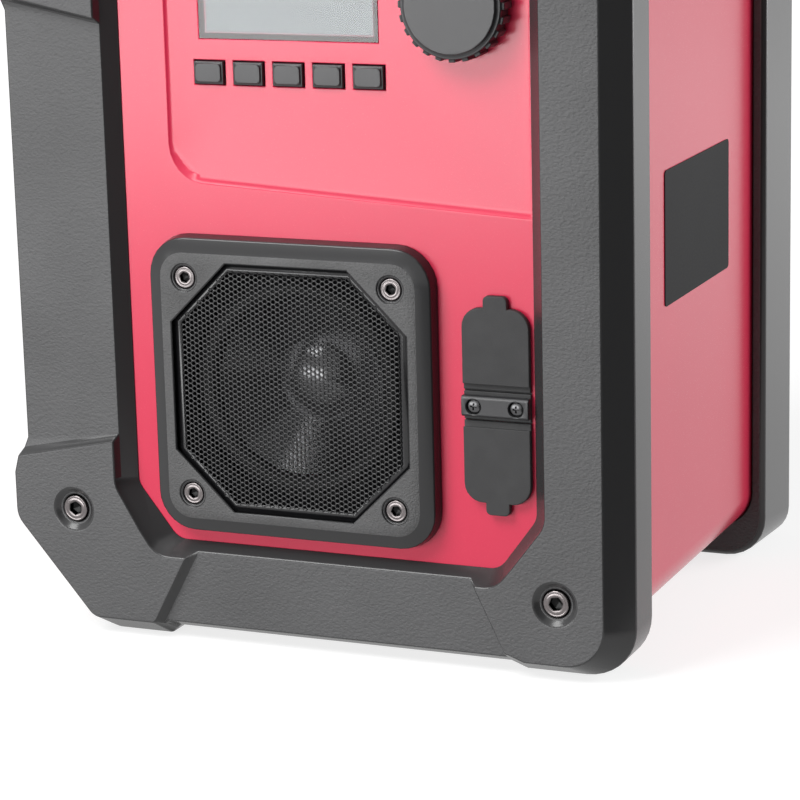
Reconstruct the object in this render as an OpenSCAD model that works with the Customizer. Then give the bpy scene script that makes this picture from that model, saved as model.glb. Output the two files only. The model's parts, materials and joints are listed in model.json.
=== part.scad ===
// Jobsite radio: a red housing between two bumper frames, with a 3 inch loudspeaker.
// Millimetres. +Z is up and the front faces -Y. The origin is under the middle of the base.

/* [Overall] */
// Width over the bumper frames
body_w = 210.5; // [200:0.5:240]
// Height over the bumper frames
body_h = 265; // [258:1:300]
// Depth over the bumper frames
body_d = 182; // [172:1:200]

/* [Front frame] */
// Depth of the front frame, from its face to its rear edge
front_frame_d = 23.3; // [18:0.1:30]
// How far the bars lie behind the corner blocks
bar_drop = 3; // [1:0.1:4]
// Depth from the corner blocks to the front panel
panel_inset = 7.5; // [7:0.1:9]
// Width of the left bar, up to the panel opening
left_bar_w = 42.5; // [40:0.5:48]
// Width of the right bar, up to the panel opening
right_bar_w = 32; // [30:0.5:36]
// Height of the bottom bar, up to the panel opening
bottom_bar_h = 32.7; // [31:0.1:35]
// Width of the bevel along the right edge
side_bevel = 8; // [4:0.5:10]
// Radius of the two right corners
corner_r = 16; // [12:0.5:20]
// Width of the chamfer across each left corner
chamfer_w = 31; // [24:0.5:34]
// Height of the chamfer across each left corner
chamfer_h = 37; // [32:0.5:38]
// Height at which the left corner block meets the bar
block_top = 63.3; // [60:0.1:68]
// How far the left bar is set in from its corner blocks
bar_notch = 4; // [2:0.5:6]
// Height of the bottom bar above the ground
bar_lift = 3; // [1:0.1:4]
// Height of the right corner block above the ground
toe_lift = 1; // [0.2:0.1:2]

/* [Rear frame] */
// Depth of the rear frame
rear_frame_d = 35.2; // [30:0.1:40]
// Width of the rear frame's bars
rear_bar_w = 34; // [33:0.5:37]
// Radius of the rear frame's corners
rear_corner_r = 14; // [11:0.5:18]
// Radius of those corners at the rear frame's back
rear_back_r = 10.5; // [8:0.5:14]
// Size of the bevel round the rear frame's back
rear_bevel = 3; // [2:0.5:6]
// Depth from the rear frame to the rear panel
rear_inset = 8; // [8:0.1:9]

/* [Housing] */
// Wall of the housing and of its two panels
wall = 3; // [2.4:0.1:3.6]
// Radius of the housing's long edges on the left
housing_r = 9; // [6:0.5:12]
// Radius of the housing's long edges on the right
housing_right_r = 12; // [8:0.5:14]
// Step from the frame's right side to the housing
right_step = 4.8; // [4:0.1:6]
// Step from the frame's left side to the housing
left_step = 7.5; // [7:0.1:9]
// Step from the frame's top to the housing
top_step = 16.8; // [16:0.1:18]
// Step from the frame's bottom to the housing
base_step = 11.5; // [11:0.1:13]
// Step from the chamfer of the front frame to the housing
chamfer_step = 5; // [4:0.1:7]

/* [Frame screws] */
// Height of the lower left screw
left_screw_z = 41.2; // [37:0.1:45]
// Distance of the left screws from the left edge
left_screw_x = 21.8; // [20:0.1:24]
// Height of the lower right screw
right_screw_z = 24.9; // [23:0.1:27]
// Distance of the right screws from the right edge
right_screw_x = 23.6; // [20:0.1:24]
// Diameter of the frame screw heads
frame_head_d = 8.5; // [7.6:0.1:9]
// Diameter of the frame screw shanks
frame_shank_d = 5; // [4:0.1:5.4]

/* [Speaker] */
// Distance of the speaker's axis from the opening's left edge
speaker_x = 56.9; // [54:0.1:62]
// Height of the speaker's axis above the opening's lower edge
speaker_z = 51.9; // [50:0.1:60]
// Width of the bezel
bezel_w = 96.8; // [96:0.2:100]
// Height of the bezel
bezel_h = 96.4; // [95:0.2:98]
// How far the bezel stands off the panel
bezel_t = 6.2; // [5.6:0.1:6.6]
// Width of the bezel's sloping edge
bezel_bevel = 4.4; // [2:0.1:4.5]
// Width across the flats of the octagonal grille opening
grille_w = 80; // [76:0.5:81]
// Spacing of the bezel screws, both ways
bezel_pitch = 70; // [69:0.5:72]
// Outer diameter of the loudspeaker's basket
driver_d = 82; // [80:0.5:84]
// How far the cone can travel each way
cone_travel = 1.5; // [0.5:0.1:1.5]

/* [Port cover] */
// Distance of the port cover's centre from the opening's right edge
port_x = 11.6; // [11.2:0.1:14]
// Width of the rubber port cover
cover_w = 21.8; // [20:0.2:22]
// Height of the cover from its middle to the end of a flap
cover_reach = 30.5; // [28:0.1:32]
// Thickness of the flaps
flap_t = 2.2; // [1.8:0.1:2.6]
// Thickness of the strap and of the living hinges
strap_t = 1.2; // [1:0.1:1.4]
// Height of the clamp strip
strip_h = 6.5; // [5.6:0.1:7]
// Thickness of the clamp strip
strip_t = 2.6; // [2:0.1:3]
// Spacing of the clamp screws
strip_pitch = 13.8; // [12:0.1:14.4]
// Bore of the audio input socket
aux_d = 3.6; // [3.4:0.1:3.8]
// Bore of the DC input socket
dc_d = 5.6; // [5.4:0.1:6]

/* [Control pad] */
// How deep the control area is sunk into the front panel
pad_t = 1.2; // [0.8:0.1:1.4]
// Width of the slope along the lower edge of the control area
pad_bevel = 2.3; // [1.5:0.1:3]
// Width of the slope along the left edge of the control area
pad_side = 1.3; // [1:0.1:2]
// How far the pad's lower edge falls towards the right
pad_fall = 7; // [3:0.5:9]
// Height of the pad's lower left corner above the speaker's axis
pad_rise = 63.8; // [63:0.1:68]
// Width of the display window
display_w = 60; // [54:1:62]
// Height of the display window
display_h = 27; // [22:1:28]
// Diameter of the volume knob
knob_d = 34; // [28:0.5:36]
// Width of a key
key_w = 10; // [8:0.5:11]
// Height of a key
key_h = 7; // [5:0.5:7.5]
// Spacing of the keys
key_pitch = 13.4; // [13.4:0.1:13.8]
// Travel of a key
key_travel = 0.8; // [0.4:0.1:0.8]

/* [Battery bay] */
// Width of the battery bay
bay_w = 92; // [84:1:96]
// Height of the battery bay
bay_h = 116; // [108:1:118]
// Depth of the battery bay, from the rear panel's face
bay_depth = 58; // [50:1:60]
// Thickness of the battery door
door_t = 3.5; // [3:0.1:4]

/* [Handle and aerial] */
// Distance of the handle's lugs from the left end of the housing's flat top
handle_inset = 1; // [0.5:0.5:6]
// Distance from the handle's pivots to the middle of its grip
handle_reach = 52; // [46:0.5:52]
// Gap between the handle's grip and the folded aerial
aerial_gap = 4.7; // [3:0.1:8]
// Diameter of the handle's pivot bolts
pivot_d = 8; // [6:0.5:9]
// Diameter of the aerial's lower tube
aerial_d = 7; // [6.4:0.1:7]
// Length of the folded lower tube
aerial_tube = 130; // [100:1:140]
// How far each section of the aerial pulls out
aerial_pull = 105; // [60:1:105]

/* [Label] */
// Length of the rating label
label_l = 67.6; // [60:0.2:72]
// Height of the rating label
label_h = 42.8; // [36:0.2:48]

/* [Clearances] */
// Gap between the frames and the housing
frame_gap = 0.2; // [0.1:0.05:0.4]
// Gap round a key, a flap or another part that moves freely
move_gap = 0.3; // [0.2:0.05:0.35]
// Radial clearance of a shaft or a hinge pin in its bore
pin_gap = 0.05; // [0.03:0.01:0.08]
// Radial clearance round the screws
screw_gap = 0.15; // [0.1:0.05:0.3]

/* [Hidden] */
$fn = 48;
eps = 0.01;
hull_fn = 32;

// Colours
charcoal = [0.22, 0.22, 0.23];
red = [0.80, 0.12, 0.20];
black = [0.07, 0.07, 0.08];
steel = [0.62, 0.62, 0.64];

// Main planes
left = -body_w / 2;
right = body_w / 2;
front = -body_d / 2;
rear = body_d / 2;
bar_y = front + bar_drop;
panel_y = front + panel_inset;
panel_back = panel_y + wall;
frame_back = front + front_frame_d;
rear_frame_y = rear - rear_frame_d;
rear_panel_y = rear - rear_inset;
rear_panel_in = rear_panel_y - wall;

// Edges of the panel opening in the front frame
open_l = left + left_bar_w;
open_r = right - right_bar_w;
open_b = bottom_bar_h;
open_t = body_h - bottom_bar_h;

// Outline of the housing
house_l = left + left_step;
house_r = right - right_step;
house_b = base_step;
house_t = body_h - top_step;
chamfer_a = atan2(chamfer_h, chamfer_w);
top_l = left + chamfer_step / sin(chamfer_a) + chamfer_w * (1 - top_step / chamfer_h)
    + housing_r * tan(chamfer_a / 2);

// Speaker, port cover and pad
spk_x = open_l + speaker_x;
spk_z = open_b + speaker_z;
bezel_y = panel_y - bezel_t;
grille_drop = 1.2;
grille_t = 0.8;
grille_y = bezel_y + grille_drop;
port_cx = open_r - port_x;
port_cz = spk_z - 0.3;
pad_y = panel_y + pad_t;
pad_z = spk_z + pad_rise;

// Frame screws: [x, z] of each
front_screw_places = [for (z = [0, 1]) each [
    [left + left_screw_x, z == 0 ? left_screw_z : body_h - left_screw_z],
    [right - right_screw_x, z == 0 ? right_screw_z : body_h - right_screw_z]]];
rear_screw_x = 21.3;
rear_screw_in = 22.5;
rear_screw_places = [for (z = [0, 1]) each [
    [left + rear_screw_x, z == 0 ? left_screw_z : body_h - left_screw_z],
    [right - rear_screw_in, z == 0 ? rear_screw_in : body_h - rear_screw_in]]];
frame_head_h = 5;
frame_shank_l = 16;
head_sink = 1;
boss_r = 5;

// Control pad
knob_in = 22.5;
knob_drop = 26;
display_gap = 9.5;
display_drop = 25;
window_drop = 0.2;
window_t = 0.9;
pad_margin = 11.5;
key_drop = 49;
knob_cx = open_r - knob_in;
knob_cz = open_t - knob_drop;
knob_front = front + 0.3;
display_cx = knob_cx - knob_d / 2 - display_gap - display_w / 2;
display_cz = open_t - display_drop;
pad_left = display_cx - display_w / 2 - pad_margin;
key_cz = open_t - key_drop;
key_x0 = display_cx - 2 * key_pitch;
key_names = 5;
board_gap = 6;
board_y = panel_back + board_gap;
board_t = 1.6;
encoder_w = 12;
bush_r = 3.5;
bush_front = panel_y - 2;
shaft_r = 3;

// Loudspeaker, all as y planes behind the panel
gasket_t = 1;
flange_y = panel_back + gasket_t;
flange_t = 1.5;
driver_r = driver_d / 2;
hole_r = driver_r - 5;
cone_rim_r = hole_r - 7.8;
coil_r = 10;
basket_back = flange_y + 20.5;
magnet_r = 27;
magnet_t = 8;
plate_t = 4;
pole_r = 9.2;

// Battery bay
bay_cz = body_h / 2 - 16;
bay_wall = 2.5;
bay_in_y = rear_panel_y - bay_depth;
bay_back_y = bay_in_y - bay_wall;
door_gap = 1.2;
door_y = rear_panel_y + door_gap;
door_lap = 4;
door_b = bay_cz - bay_h / 2 - door_lap;
door_tz = bay_cz + bay_h / 2 + door_lap;
hinge_r = 3.2;
hinge_pin_r = 1.5;
hinge_z = door_b - 4;
hinge_y = rear_panel_y + 3.4;
hinge_half = 34;
ear_w = 8;

// Handle and aerial
aerial_in = 5.6;
aerial_y = rear_frame_y - aerial_in;
aerial_z = house_t + 8.5;
aerial_x = top_l + 8.3;
aerial_r = aerial_d / 2;
grip_w = 21;
grip_gap = 7;
pivot_y = aerial_y - aerial_r - aerial_gap - grip_w / 2 - handle_reach;
pivot_z = house_t + 7.8;
arm_t = 6;
lug_t = 7;
lug_r = 7.4;
handle_half = -top_l - handle_inset - lug_t - move_gap;
grip_l = 2 * (handle_half - arm_t - grip_gap);
ear_t = 1.6;
knuckle_w = 4.4;
pin_r = 1.2;
tube_wall = 0.65;
stage_r = aerial_r - tube_wall - pin_gap;
tip_r = stage_r - tube_wall - pin_gap;

// Curves
function lerp(a, b, t) = a + (b - a) * t;
function arc(c, r, from, to, n) =
    [for (i = [0:n]) let (a = lerp(from, to, i / n)) [c.x + r * cos(a), c.y + r * sin(a)]];
// Rounds the corner at p, where a path heading at angle a turns left to angle b
function fillet(p, a, b, r, n) =
    let (t = r * tan((b - a) / 2), c = [p.x - t * cos(a) - r * sin(a), p.y - t * sin(a) + r * cos(a)])
    arc(c, r, a - 90, b - 90, n);
function round_rect(x0, x1, z0, z1, r, n = 7) = concat(
    arc([x1 - r, z0 + r], r, -90, 0, n), arc([x1 - r, z1 - r], r, 0, 90, n),
    arc([x0 + r, z1 - r], r, 90, 180, n), arc([x0 + r, z0 + r], r, 180, 270, n));
function flip(points) = [for (p = points) [p.x, body_h - p.y]];
function reverse(list) = [for (i = [len(list) - 1:-1:0]) list[i]];
// Housing: rounded corners on the right, chamfers beside those of the front frame on the left
function housing_half(end, grow) =
    let (step = (chamfer_step - grow) / sin(chamfer_a),
        cut_z = chamfer_h * (1 - (house_l - grow - left - step) / chamfer_w),
        cut_x = left + step + chamfer_w * (1 - (end - grow) / chamfer_h),
        x1 = house_r + grow, z0 = end - grow, r = housing_r + grow, r1 = housing_right_r + grow)
    concat(fillet([house_l - grow, cut_z], -90, -chamfer_a, r, 4), fillet([cut_x, z0], -chamfer_a, 0, r, 4),
        arc([x1 - r1, z0 + r1], r1, -90, 0, 8));
function housing_outline(grow = 0) =
    concat(housing_half(base_step, grow), reverse(flip(housing_half(top_step, grow))));

// Lower half of the front frame's outline. Face is 0 at the full outline and 1 at the front face.
function frame_half(face) =
    let (edge = 0.5 * face, block_z = 5.4 * face, bar_z = bar_lift + 4.4 * face,
        lift = block_z * chamfer_w / chamfer_h,
        step_l = left + 51.8 - 2.8 * face, step_r = right - 35.5 + 1.5 * face,
        toe_z = block_z + toe_lift * (1 - face), r = corner_r - 3 * face)
    concat(
        [[left + bar_notch + edge, block_top], [left + 1.5 + edge, block_top - 5.8],
         [left + edge, block_top - 11.3]],
        fillet([left + edge, chamfer_h], -90, -chamfer_a, 8, 4),
        fillet([left + chamfer_w - lift + edge, block_z], -chamfer_a, 0, 5, 5),
        [[step_l, block_z], [step_l + 3.2, bar_z], [step_r - 5.4, bar_z],
         [step_r, toe_z]],
        arc([right - side_bevel * face - r, r + toe_z], r, -90, 0, 9));
function frame_ring(face) = concat(frame_half(face), reverse(flip(frame_half(face))));

// Radius of the opening's corners at the panel, which grows towards the face
opening_r = 6;
// Panel opening, grown by side and end at the sloping levels in front of the panel
function opening_half(side, end) = [
    [open_l - side, open_b + 17.4], [open_l + 13.4 - side, open_b - end],
    [open_r - 12.2 + side / 5, open_b - end], [open_r + side, open_b + 16.5]];
function opening(side = 0, end = 0) =
    concat(opening_half(side, end), reverse(flip(opening_half(side, end))));

// Basic forms
module along_y(y0, y1) { translate([0, y1, 0]) rotate([90, 0, 0]) linear_extrude(y1 - y0) children(); }
module along_x(x0, x1) { translate([x0, 0, 0]) rotate([90, 0, 90]) linear_extrude(x1 - x0) children(); }
module rod_y(x, z, y0, y1, r) { translate([x, y1, z]) rotate([90, 0, 0]) cylinder(h = y1 - y0, r = r); }
module rod_x(y, z, x0, x1, r) { translate([x0, y, z]) rotate([0, 90, 0]) cylinder(h = x1 - x0, r = r); }
module block(x0, x1, y0, y1, z0, z1) { translate([x0, y0, z0]) cube([x1 - x0, y1 - y0, z1 - z0]); }
// Turns a profile of [radius, y] points round an axis along Y
module turned(x, z) { translate([x, 0, z]) rotate([-90, 0, 0]) rotate_extrude() children(); }
module slab(y0, y1, points) { along_y(y0, y1) polygon(points); }

// Solid through matching rings of [x, z] points, one at each y
module loft(rings, ys) {
    n = len(rings[0]);
    m = len(rings);
    points = [for (k = [0:m - 1]) for (p = rings[k]) [p.x, ys[k], p.y]];
    sides = [for (k = [0:m - 2]) for (i = [0:n - 1])
        let (j = (i + 1) % n, a = k * n + i, b = k * n + j, c = a + n, d = b + n)
        each [[a, b, d], [a, d, c]]];
    ends = [[for (i = [n - 1:-1:0]) i], [for (i = [0:n - 1]) (m - 1) * n + i]];
    polyhedron(points, concat(sides, ends));
}

// Socket head screw with its face at the origin and its shank towards +Y
module cap_screw(head_d, head_h, shank_d, length, key) {
    difference() {
        union() {
            rod_y(0, 0, 0, head_h, head_d / 2);
            rod_y(0, 0, head_h / 2, head_h + length, shank_d / 2);
        }
        translate([0, head_h * 0.55, 0]) rotate([90, 0, 0]) cylinder(h = head_h, d = key / cos(30), $fn = 6);
    }
}

// ---- Bumper frames ----

// The outline and its cuts run on past the faces by this much, and the faces are cut last
past = 1;

module bar_cut(face_points, bar_points) {
    hull() {
        slab(front - past - eps, front - past, face_points);
        slab(bar_y - eps, bar_y, bar_points);
    }
}

// Recess over the left bar, bounded by the sloping step of each corner block. Depth is above the bar.
function left_bar_cut(depth) =
    let (x0 = left - 5, x1 = open_l + 10, z0 = block_top - 4 - depth * 0.67, rise = 0.204)
    [[x0, z0 + rise * (x0 - left)], [x1, z0 + rise * (x1 - left)],
     [x1, body_h - z0 - rise * (x1 - left)], [x0, body_h - z0 - rise * (x0 - left)]];
// Recess over the bottom bar between its two corner blocks
function end_bar_cut(depth) =
    let (z0 = -10, z1 = open_b + 12, x0 = left + 49 - depth * 0.83, x1 = right - 38.1 + depth * 0.5)
    [[x0 + 0.53 * z0, z0], [x1 - 0.483 * z0, z0], [x1 - 0.483 * z1, z1], [x0 + 0.53 * z1, z1]];

module opening_level(y, side, end, r) {
    along_y(y - eps, y + eps) offset(r = r, $fn = hull_fn) offset(delta = -r) polygon(opening(side, end));
}

module screw_recess(place, y, way) {
    translate([place.x, y, place.y]) rotate([0, 0, way]) {
        rotate([-90, 0, 0]) rotate_extrude() polygon([[0, -1], [7.9, -1], [7.2, 0], [5.4, 1.5], [0, 1.5]]);
        rod_y(0, 0, 0, head_sink + frame_head_h, frame_head_d / 2 + 2 * screw_gap);
        rod_y(0, 0, 0, panel_inset + wall, frame_shank_d / 2 + screw_gap);
    }
}

module front_frame() {
    color(charcoal) difference() {
        intersection() {
            loft([frame_ring(1 + past / side_bevel), frame_ring(0), frame_ring(0)],
                [front - past, front + side_bevel, frame_back + past]);
            block(left - 1, right + 1, front, frame_back, -1, body_h + 1);
        }
        hull() {
            opening_level(front - past, 5.73, 5.44, opening_r + 3);
            opening_level(bar_y, 4.4, 2.88, opening_r + 2);
            opening_level(panel_y, 0, 0, opening_r);
        }
        bar_cut(left_bar_cut(bar_drop + past), left_bar_cut(0));
        bar_cut(end_bar_cut(bar_drop + past), end_bar_cut(0));
        bar_cut(flip(end_bar_cut(bar_drop + past)), flip(end_bar_cut(0)));
        slab(panel_y, frame_back + 1, housing_outline(frame_gap));
        for (p = front_screw_places) screw_recess(p, front, 0);
    }
}

function rear_opening(grow) = round_rect(left + rear_bar_w - grow, right - rear_bar_w + grow,
    rear_bar_w - grow, body_h - rear_bar_w + grow, 12 + grow);

function rear_outline(inset, r) = round_rect(left + inset, right - inset, inset, body_h - inset, r - inset);

module rear_frame() {
    edge = 1.5;
    color(charcoal) difference() {
        loft([rear_outline(edge, rear_corner_r), rear_outline(0, rear_corner_r),
              rear_outline(0, rear_back_r), rear_outline(rear_bevel, rear_back_r)],
            [rear_frame_y, rear_frame_y + edge, rear - rear_bevel, rear]);
        loft([rear_opening(0), rear_opening(4)], [rear_panel_y, rear]);
        slab(rear_panel_y - 1, rear_panel_y + eps, rear_opening(0));
        slab(rear - eps, rear + 1, rear_opening(4));
        slab(rear_frame_y - 1, rear_panel_y, housing_outline(frame_gap));
        for (p = rear_screw_places) screw_recess(p, rear, 180);
    }
}

module frame_screw() { cap_screw(frame_head_d, frame_head_h, frame_shank_d, frame_shank_l, 4); }

module front_frame_screws() {
    color(steel) for (p = front_screw_places) translate([p.x, front + head_sink, p.y]) frame_screw();
}

module rear_frame_screws() {
    color(steel) for (p = rear_screw_places)
        translate([p.x, rear - head_sink, p.y]) rotate([0, 0, 180]) frame_screw();
}

// ---- Housing ----

seal_w = 1.4;
seal_t = 1;
module seal_ring(y0, y1) {
    difference() {
        slab(y0, y1, housing_outline(-(wall - seal_w) / 2));
        slab(y0 - 1, y1 + 1, housing_outline(-(wall + seal_w) / 2));
    }
}

module screw_boss(place, y0, y1) {
    difference() {
        rod_y(place.x, place.y, y0, y1, boss_r);
        rod_y(place.x, place.y, y0 - 1, y1 + 1, frame_shank_d / 2 + screw_gap);
    }
}

boss_l = 14;
module main_housing() {
    y0 = panel_back;
    y1 = rear_panel_in;
    color(red) {
        difference() {
            union() {
                difference() {
                    slab(y0, y1, housing_outline());
                    slab(y0 - 1, y1 + 1, housing_outline(-wall));
                }
                for (p = front_screw_places) boss_with_web(p, y0, y0 + boss_l);
                for (p = rear_screw_places) boss_with_web(p, y1 - boss_l, y1);
                for (x = [-1, 1]) handle_lug(x);
            }
            for (p = front_screw_places) rod_y(p.x, p.y, y0 - 1, y0 + boss_l + 1, frame_shank_d / 2 + screw_gap);
            for (p = rear_screw_places) rod_y(p.x, p.y, y1 - boss_l - 1, y1 + 1, frame_shank_d / 2 + screw_gap);
            for (x = [-1, 1]) rod_x(pivot_y, pivot_z, x * handle_half - 20, x * handle_half + 20, pivot_d / 2 - 2);
            seal_ring(y0 - 1, y0 + seal_t);
            seal_ring(y1 - seal_t, y1 + 1);
        }
    }
}

// Boss for a frame screw, tied to the nearest side wall by a rib
module boss_with_web(place, y0, y1) {
    rod_y(place.x, place.y, y0, y1, boss_r);
    intersection() {
        block(place.x < 0 ? house_l : place.x, place.x < 0 ? place.x : house_r, y0, y1,
            place.y - 1.2, place.y + 1.2);
        slab(y0, y1, housing_outline(-wall / 2));
    }
}

module handle_lug(side) {
    x0 = side * (handle_half + move_gap);
    x1 = x0 + side * lug_t;
    rod_x(pivot_y, pivot_z, min(x0, x1), max(x0, x1), lug_r);
    block(min(x0, x1), max(x0, x1), pivot_y - lug_r, pivot_y + lug_r, house_t - 1, pivot_z);
}

module front_seal() { color(black) seal_ring(panel_back, panel_back + seal_t); }
module rear_seal() { color(black) seal_ring(rear_panel_in - seal_t, rear_panel_in); }

// ---- Front panel with its sunk control area ----

function pad_outline(side, low) =
    let (x0 = pad_left + side, x1 = open_r + 20, fall = atan2(pad_fall, open_r - pad_left),
        z0 = pad_z + low + 0.8, drop = (x1 - x0) * tan(fall))
    concat(fillet([x0, z0], -90, -fall, 12 - (side + low) / 2, 6),
        [[x1, z0 - drop], [x1, open_t + 20], [x0, open_t + 20]]);

module sunk_area() {
    intersection() {
        hull() {
            slab(panel_y - 1, panel_y, pad_outline(0, 0));
            slab(pad_y - eps, pad_y, pad_outline(pad_side, pad_bevel));
        }
        along_y(panel_y - 2, pad_y + 1) offset(r = opening_r + 1, $fn = hull_fn)
            offset(delta = -opening_r - 1 - move_gap) polygon(opening());
    }
}

module board_post(place) { rod_y(place.x, place.y, panel_back - 1, board_y, 2.6); }

board_margin = 5;
board_x0 = display_cx - display_w / 2 - board_margin;
board_x1 = open_r - 4;
board_z0 = key_cz - 12;
board_z1 = open_t - 4;
board_posts = [for (x = [board_x0 + 4, board_x1 - 4], z = [board_z0 + 4, board_z1 - 4]) [x, z]];
function key_x(i) = key_x0 + i * key_pitch;
bezel_screw_places = [for (x = [-1, 1], z = [-1, 1])
    [spk_x + x * bezel_pitch / 2, spk_z + z * bezel_pitch / 2]];
driver_head_r = 2.3;
driver_screw_r = driver_r - driver_head_r - 0.05;
driver_screw_places = [for (x = [-1, 1], z = [-1, 1])
    [spk_x + x * driver_screw_r * cos(45), spk_z + z * driver_screw_r * sin(45)]];
socket_rise = 17.5;
aux_bush_r = 3.9;
dc_bush_r = 5.4;

module front_panel() {
    y0 = panel_y - 1;
    y1 = panel_back + 1;
    color(red) difference() {
        union() {
            slab(panel_y, panel_back, housing_outline());
            for (p = board_posts) board_post(p);
            for (p = bezel_screw_places) rod_y(p.x, p.y, panel_back - 1, panel_back + 8, 3.9);
        }
        sunk_area();
        rod_y(spk_x, spk_z, panel_y - 1, y1, hole_r);
        for (p = front_screw_places) rod_y(p.x, p.y, panel_y - 1, y1, frame_shank_d / 2 + screw_gap);
        for (p = bezel_screw_places) rod_y(p.x, p.y, panel_y - 1, panel_back + 9, 2 + screw_gap);
        for (p = driver_screw_places) rod_y(p.x, p.y, panel_back - 2.4, y1, 1.5 + screw_gap);
        for (p = board_posts) rod_y(p.x, p.y, board_y - 6, board_y + 1, 1.2 + screw_gap);
        for (x = [-1, 1]) rod_y(port_cx + x * strip_pitch / 2, port_cz, panel_y - 1, y1, 1.2 + screw_gap);
        rod_y(port_cx, port_cz + socket_rise, panel_y - 1, y1, aux_bush_r + screw_gap);
        rod_y(port_cx, port_cz - socket_rise, panel_y - 1, y1, dc_bush_r + screw_gap);
        rod_y(knob_cx, knob_cz, y0, y1, bush_r + screw_gap);
        for (i = [0:key_names - 1]) block(key_x(i) - key_w / 2 - move_gap, key_x(i) + key_w / 2 + move_gap,
            y0, y1, key_cz - key_h / 2 - move_gap, key_cz + key_h / 2 + move_gap);
        block(display_cx - display_w / 2 - screw_gap, display_cx + display_w / 2 + screw_gap,
            y0, pad_y + window_drop + window_t, display_cz - display_h / 2 - screw_gap,
            display_cz + display_h / 2 + screw_gap);
        block(display_cx - display_w / 2 + 2, display_cx + display_w / 2 - 2, y0, y1,
            display_cz - display_h / 2 + 2, display_cz + display_h / 2 - 2);
    }
}

// ---- Loudspeaker ----

function bezel_outline(inset) = round_rect(spk_x - bezel_w / 2 + inset, spk_x + bezel_w / 2 - inset,
    spk_z - bezel_h / 2 + inset, spk_z + bezel_h / 2 - inset, 13 - inset);
// Octagon of the grille: square across the flats with cut corners
function octagon(w, cut = 19.4) = let (h = w / 2, c = h - cut) [for (p = [[h, -c], [h, c], [c, h],
    [-c, h], [-h, c], [-h, -c], [-c, -h], [c, -h]]) [spk_x + p.x, spk_z + p.y]];

bezel_head_d = 7;
bezel_head_h = 4;
// Depth of the bezel's sloping edge, and how far its rim leans out below that edge
bezel_slope = 1.7;
bezel_draft = 0.8;
module speaker_bezel() {
    color(charcoal) difference() {
        loft([bezel_outline(bezel_draft + bezel_bevel), bezel_outline(bezel_draft), bezel_outline(0)],
            [bezel_y, bezel_y + bezel_slope, panel_y]);
        slab(bezel_y - 1, panel_y + 1, octagon(grille_w));
        slab(grille_y, panel_y + 1, octagon(grille_w + 3));
        for (p = bezel_screw_places) {
            rod_y(p.x, p.y, bezel_y - 1, bezel_y + 0.6 + bezel_head_h, bezel_head_d / 2 + screw_gap);
            rod_y(p.x, p.y, bezel_y - 1, bezel_y + 0.5, bezel_head_d / 2 + 0.8);
            rod_y(p.x, p.y, bezel_y - 1, panel_y + 1, 2 + screw_gap);
        }
    }
}

// Pressed grille: a flat sheet with its rim turned back to the panel
grille_over = 2.6;
module speaker_grille() {
    color(black) difference() {
        slab(grille_y, panel_y, octagon(grille_w + grille_over));
        slab(grille_y + grille_t, panel_y + 1, octagon(grille_w + grille_over - 2 * grille_t, 19.2));
    }
}

// Felt under the grille's corners, open over the cone
felt_t = 1;
module grille_felt() {
    color(black) difference() {
        slab(panel_y - felt_t, panel_y, octagon(grille_w + grille_over - 2 * grille_t - 2 * move_gap));
        rod_y(spk_x, spk_z, panel_y - felt_t - 1, panel_y + 1, hole_r);
    }
}

module bezel_screws() {
    color(steel) for (p = bezel_screw_places)
        translate([p.x, bezel_y + 0.6, p.y]) cap_screw(bezel_head_d, bezel_head_h, 4, 9, 3);
}

module speaker_gasket() {
    color(black) difference() {
        turned(spk_x, spk_z) polygon([[hole_r + 0.3, panel_back], [driver_r, panel_back],
            [driver_r, flange_y], [hole_r + 0.3, flange_y]]);
        for (p = driver_screw_places) rod_y(p.x, p.y, panel_back - 1, flange_y + 1, 1.5 + screw_gap);
    }
}

seat_t = 1.5;
module driver_basket() {
    wall_r = hole_r - 1;
    back_r = magnet_r - 2;
    color(black) difference() {
        turned(spk_x, spk_z) polygon([[hole_r - 2, flange_y], [driver_r, flange_y],
            [driver_r, flange_y + flange_t], [wall_r + 1.2, flange_y + flange_t],
            [back_r + 1.2, basket_back], [12.5, basket_back], [12.5, basket_back - seat_t],
            [back_r - 0.5, basket_back - seat_t], [hole_r - 2, flange_y + flange_t]]);
        for (a = [0:90:270]) translate([spk_x, 0, spk_z]) rotate([0, a, 0])
            block(-12, 12, flange_y + 4, basket_back - 3, 18, 45);
        for (p = driver_screw_places) rod_y(p.x, p.y, flange_y - 1, flange_y + 3, 1.5 + screw_gap);
    }
}

// Half roll round the cone, from the cone's rim to the basket's flange
roll_out = hole_r - 1.4;
roll_in = cone_rim_r + 0.3;
module driver_surround() {
    c = [(roll_out + roll_in) / 2, flange_y - 0.8];
    r = (roll_out - roll_in) / 2;
    color(black) turned(spk_x, spk_z) polygon(concat(arc(c, r, 180, 360, 10),
        [[hole_r - 0.2, flange_y - 0.8], [hole_r - 0.2, flange_y], [roll_out - 0.8, flange_y]],
        arc(c, r - 0.8, 360, 180, 10)));
}

module driver_spider() {
    y = basket_back - seat_t - 1.6;
    outer = 22;
    waves = 5;
    inner = coil_r + 0.7;
    top = [for (i = [0:waves * 4]) let (r = lerp(inner, outer, i / (waves * 4))) [r, y - 0.6 * sin(i * 90)]];
    color([0.75, 0.65, 0.40]) turned(spk_x, spk_z) polygon(concat(top,
        [[outer + 1.5, y], [outer + 1.5, basket_back - seat_t], [outer + 0.5, basket_back - seat_t]],
        [for (p = reverse(top)) [p.x, p.y + 0.5]]));
}

module driver_top_plate() {
    color(steel) turned(spk_x, spk_z) polygon([[coil_r + 1.1, basket_back], [22, basket_back],
        [22, basket_back + plate_t], [coil_r + 1.1, basket_back + plate_t]]);
}

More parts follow.
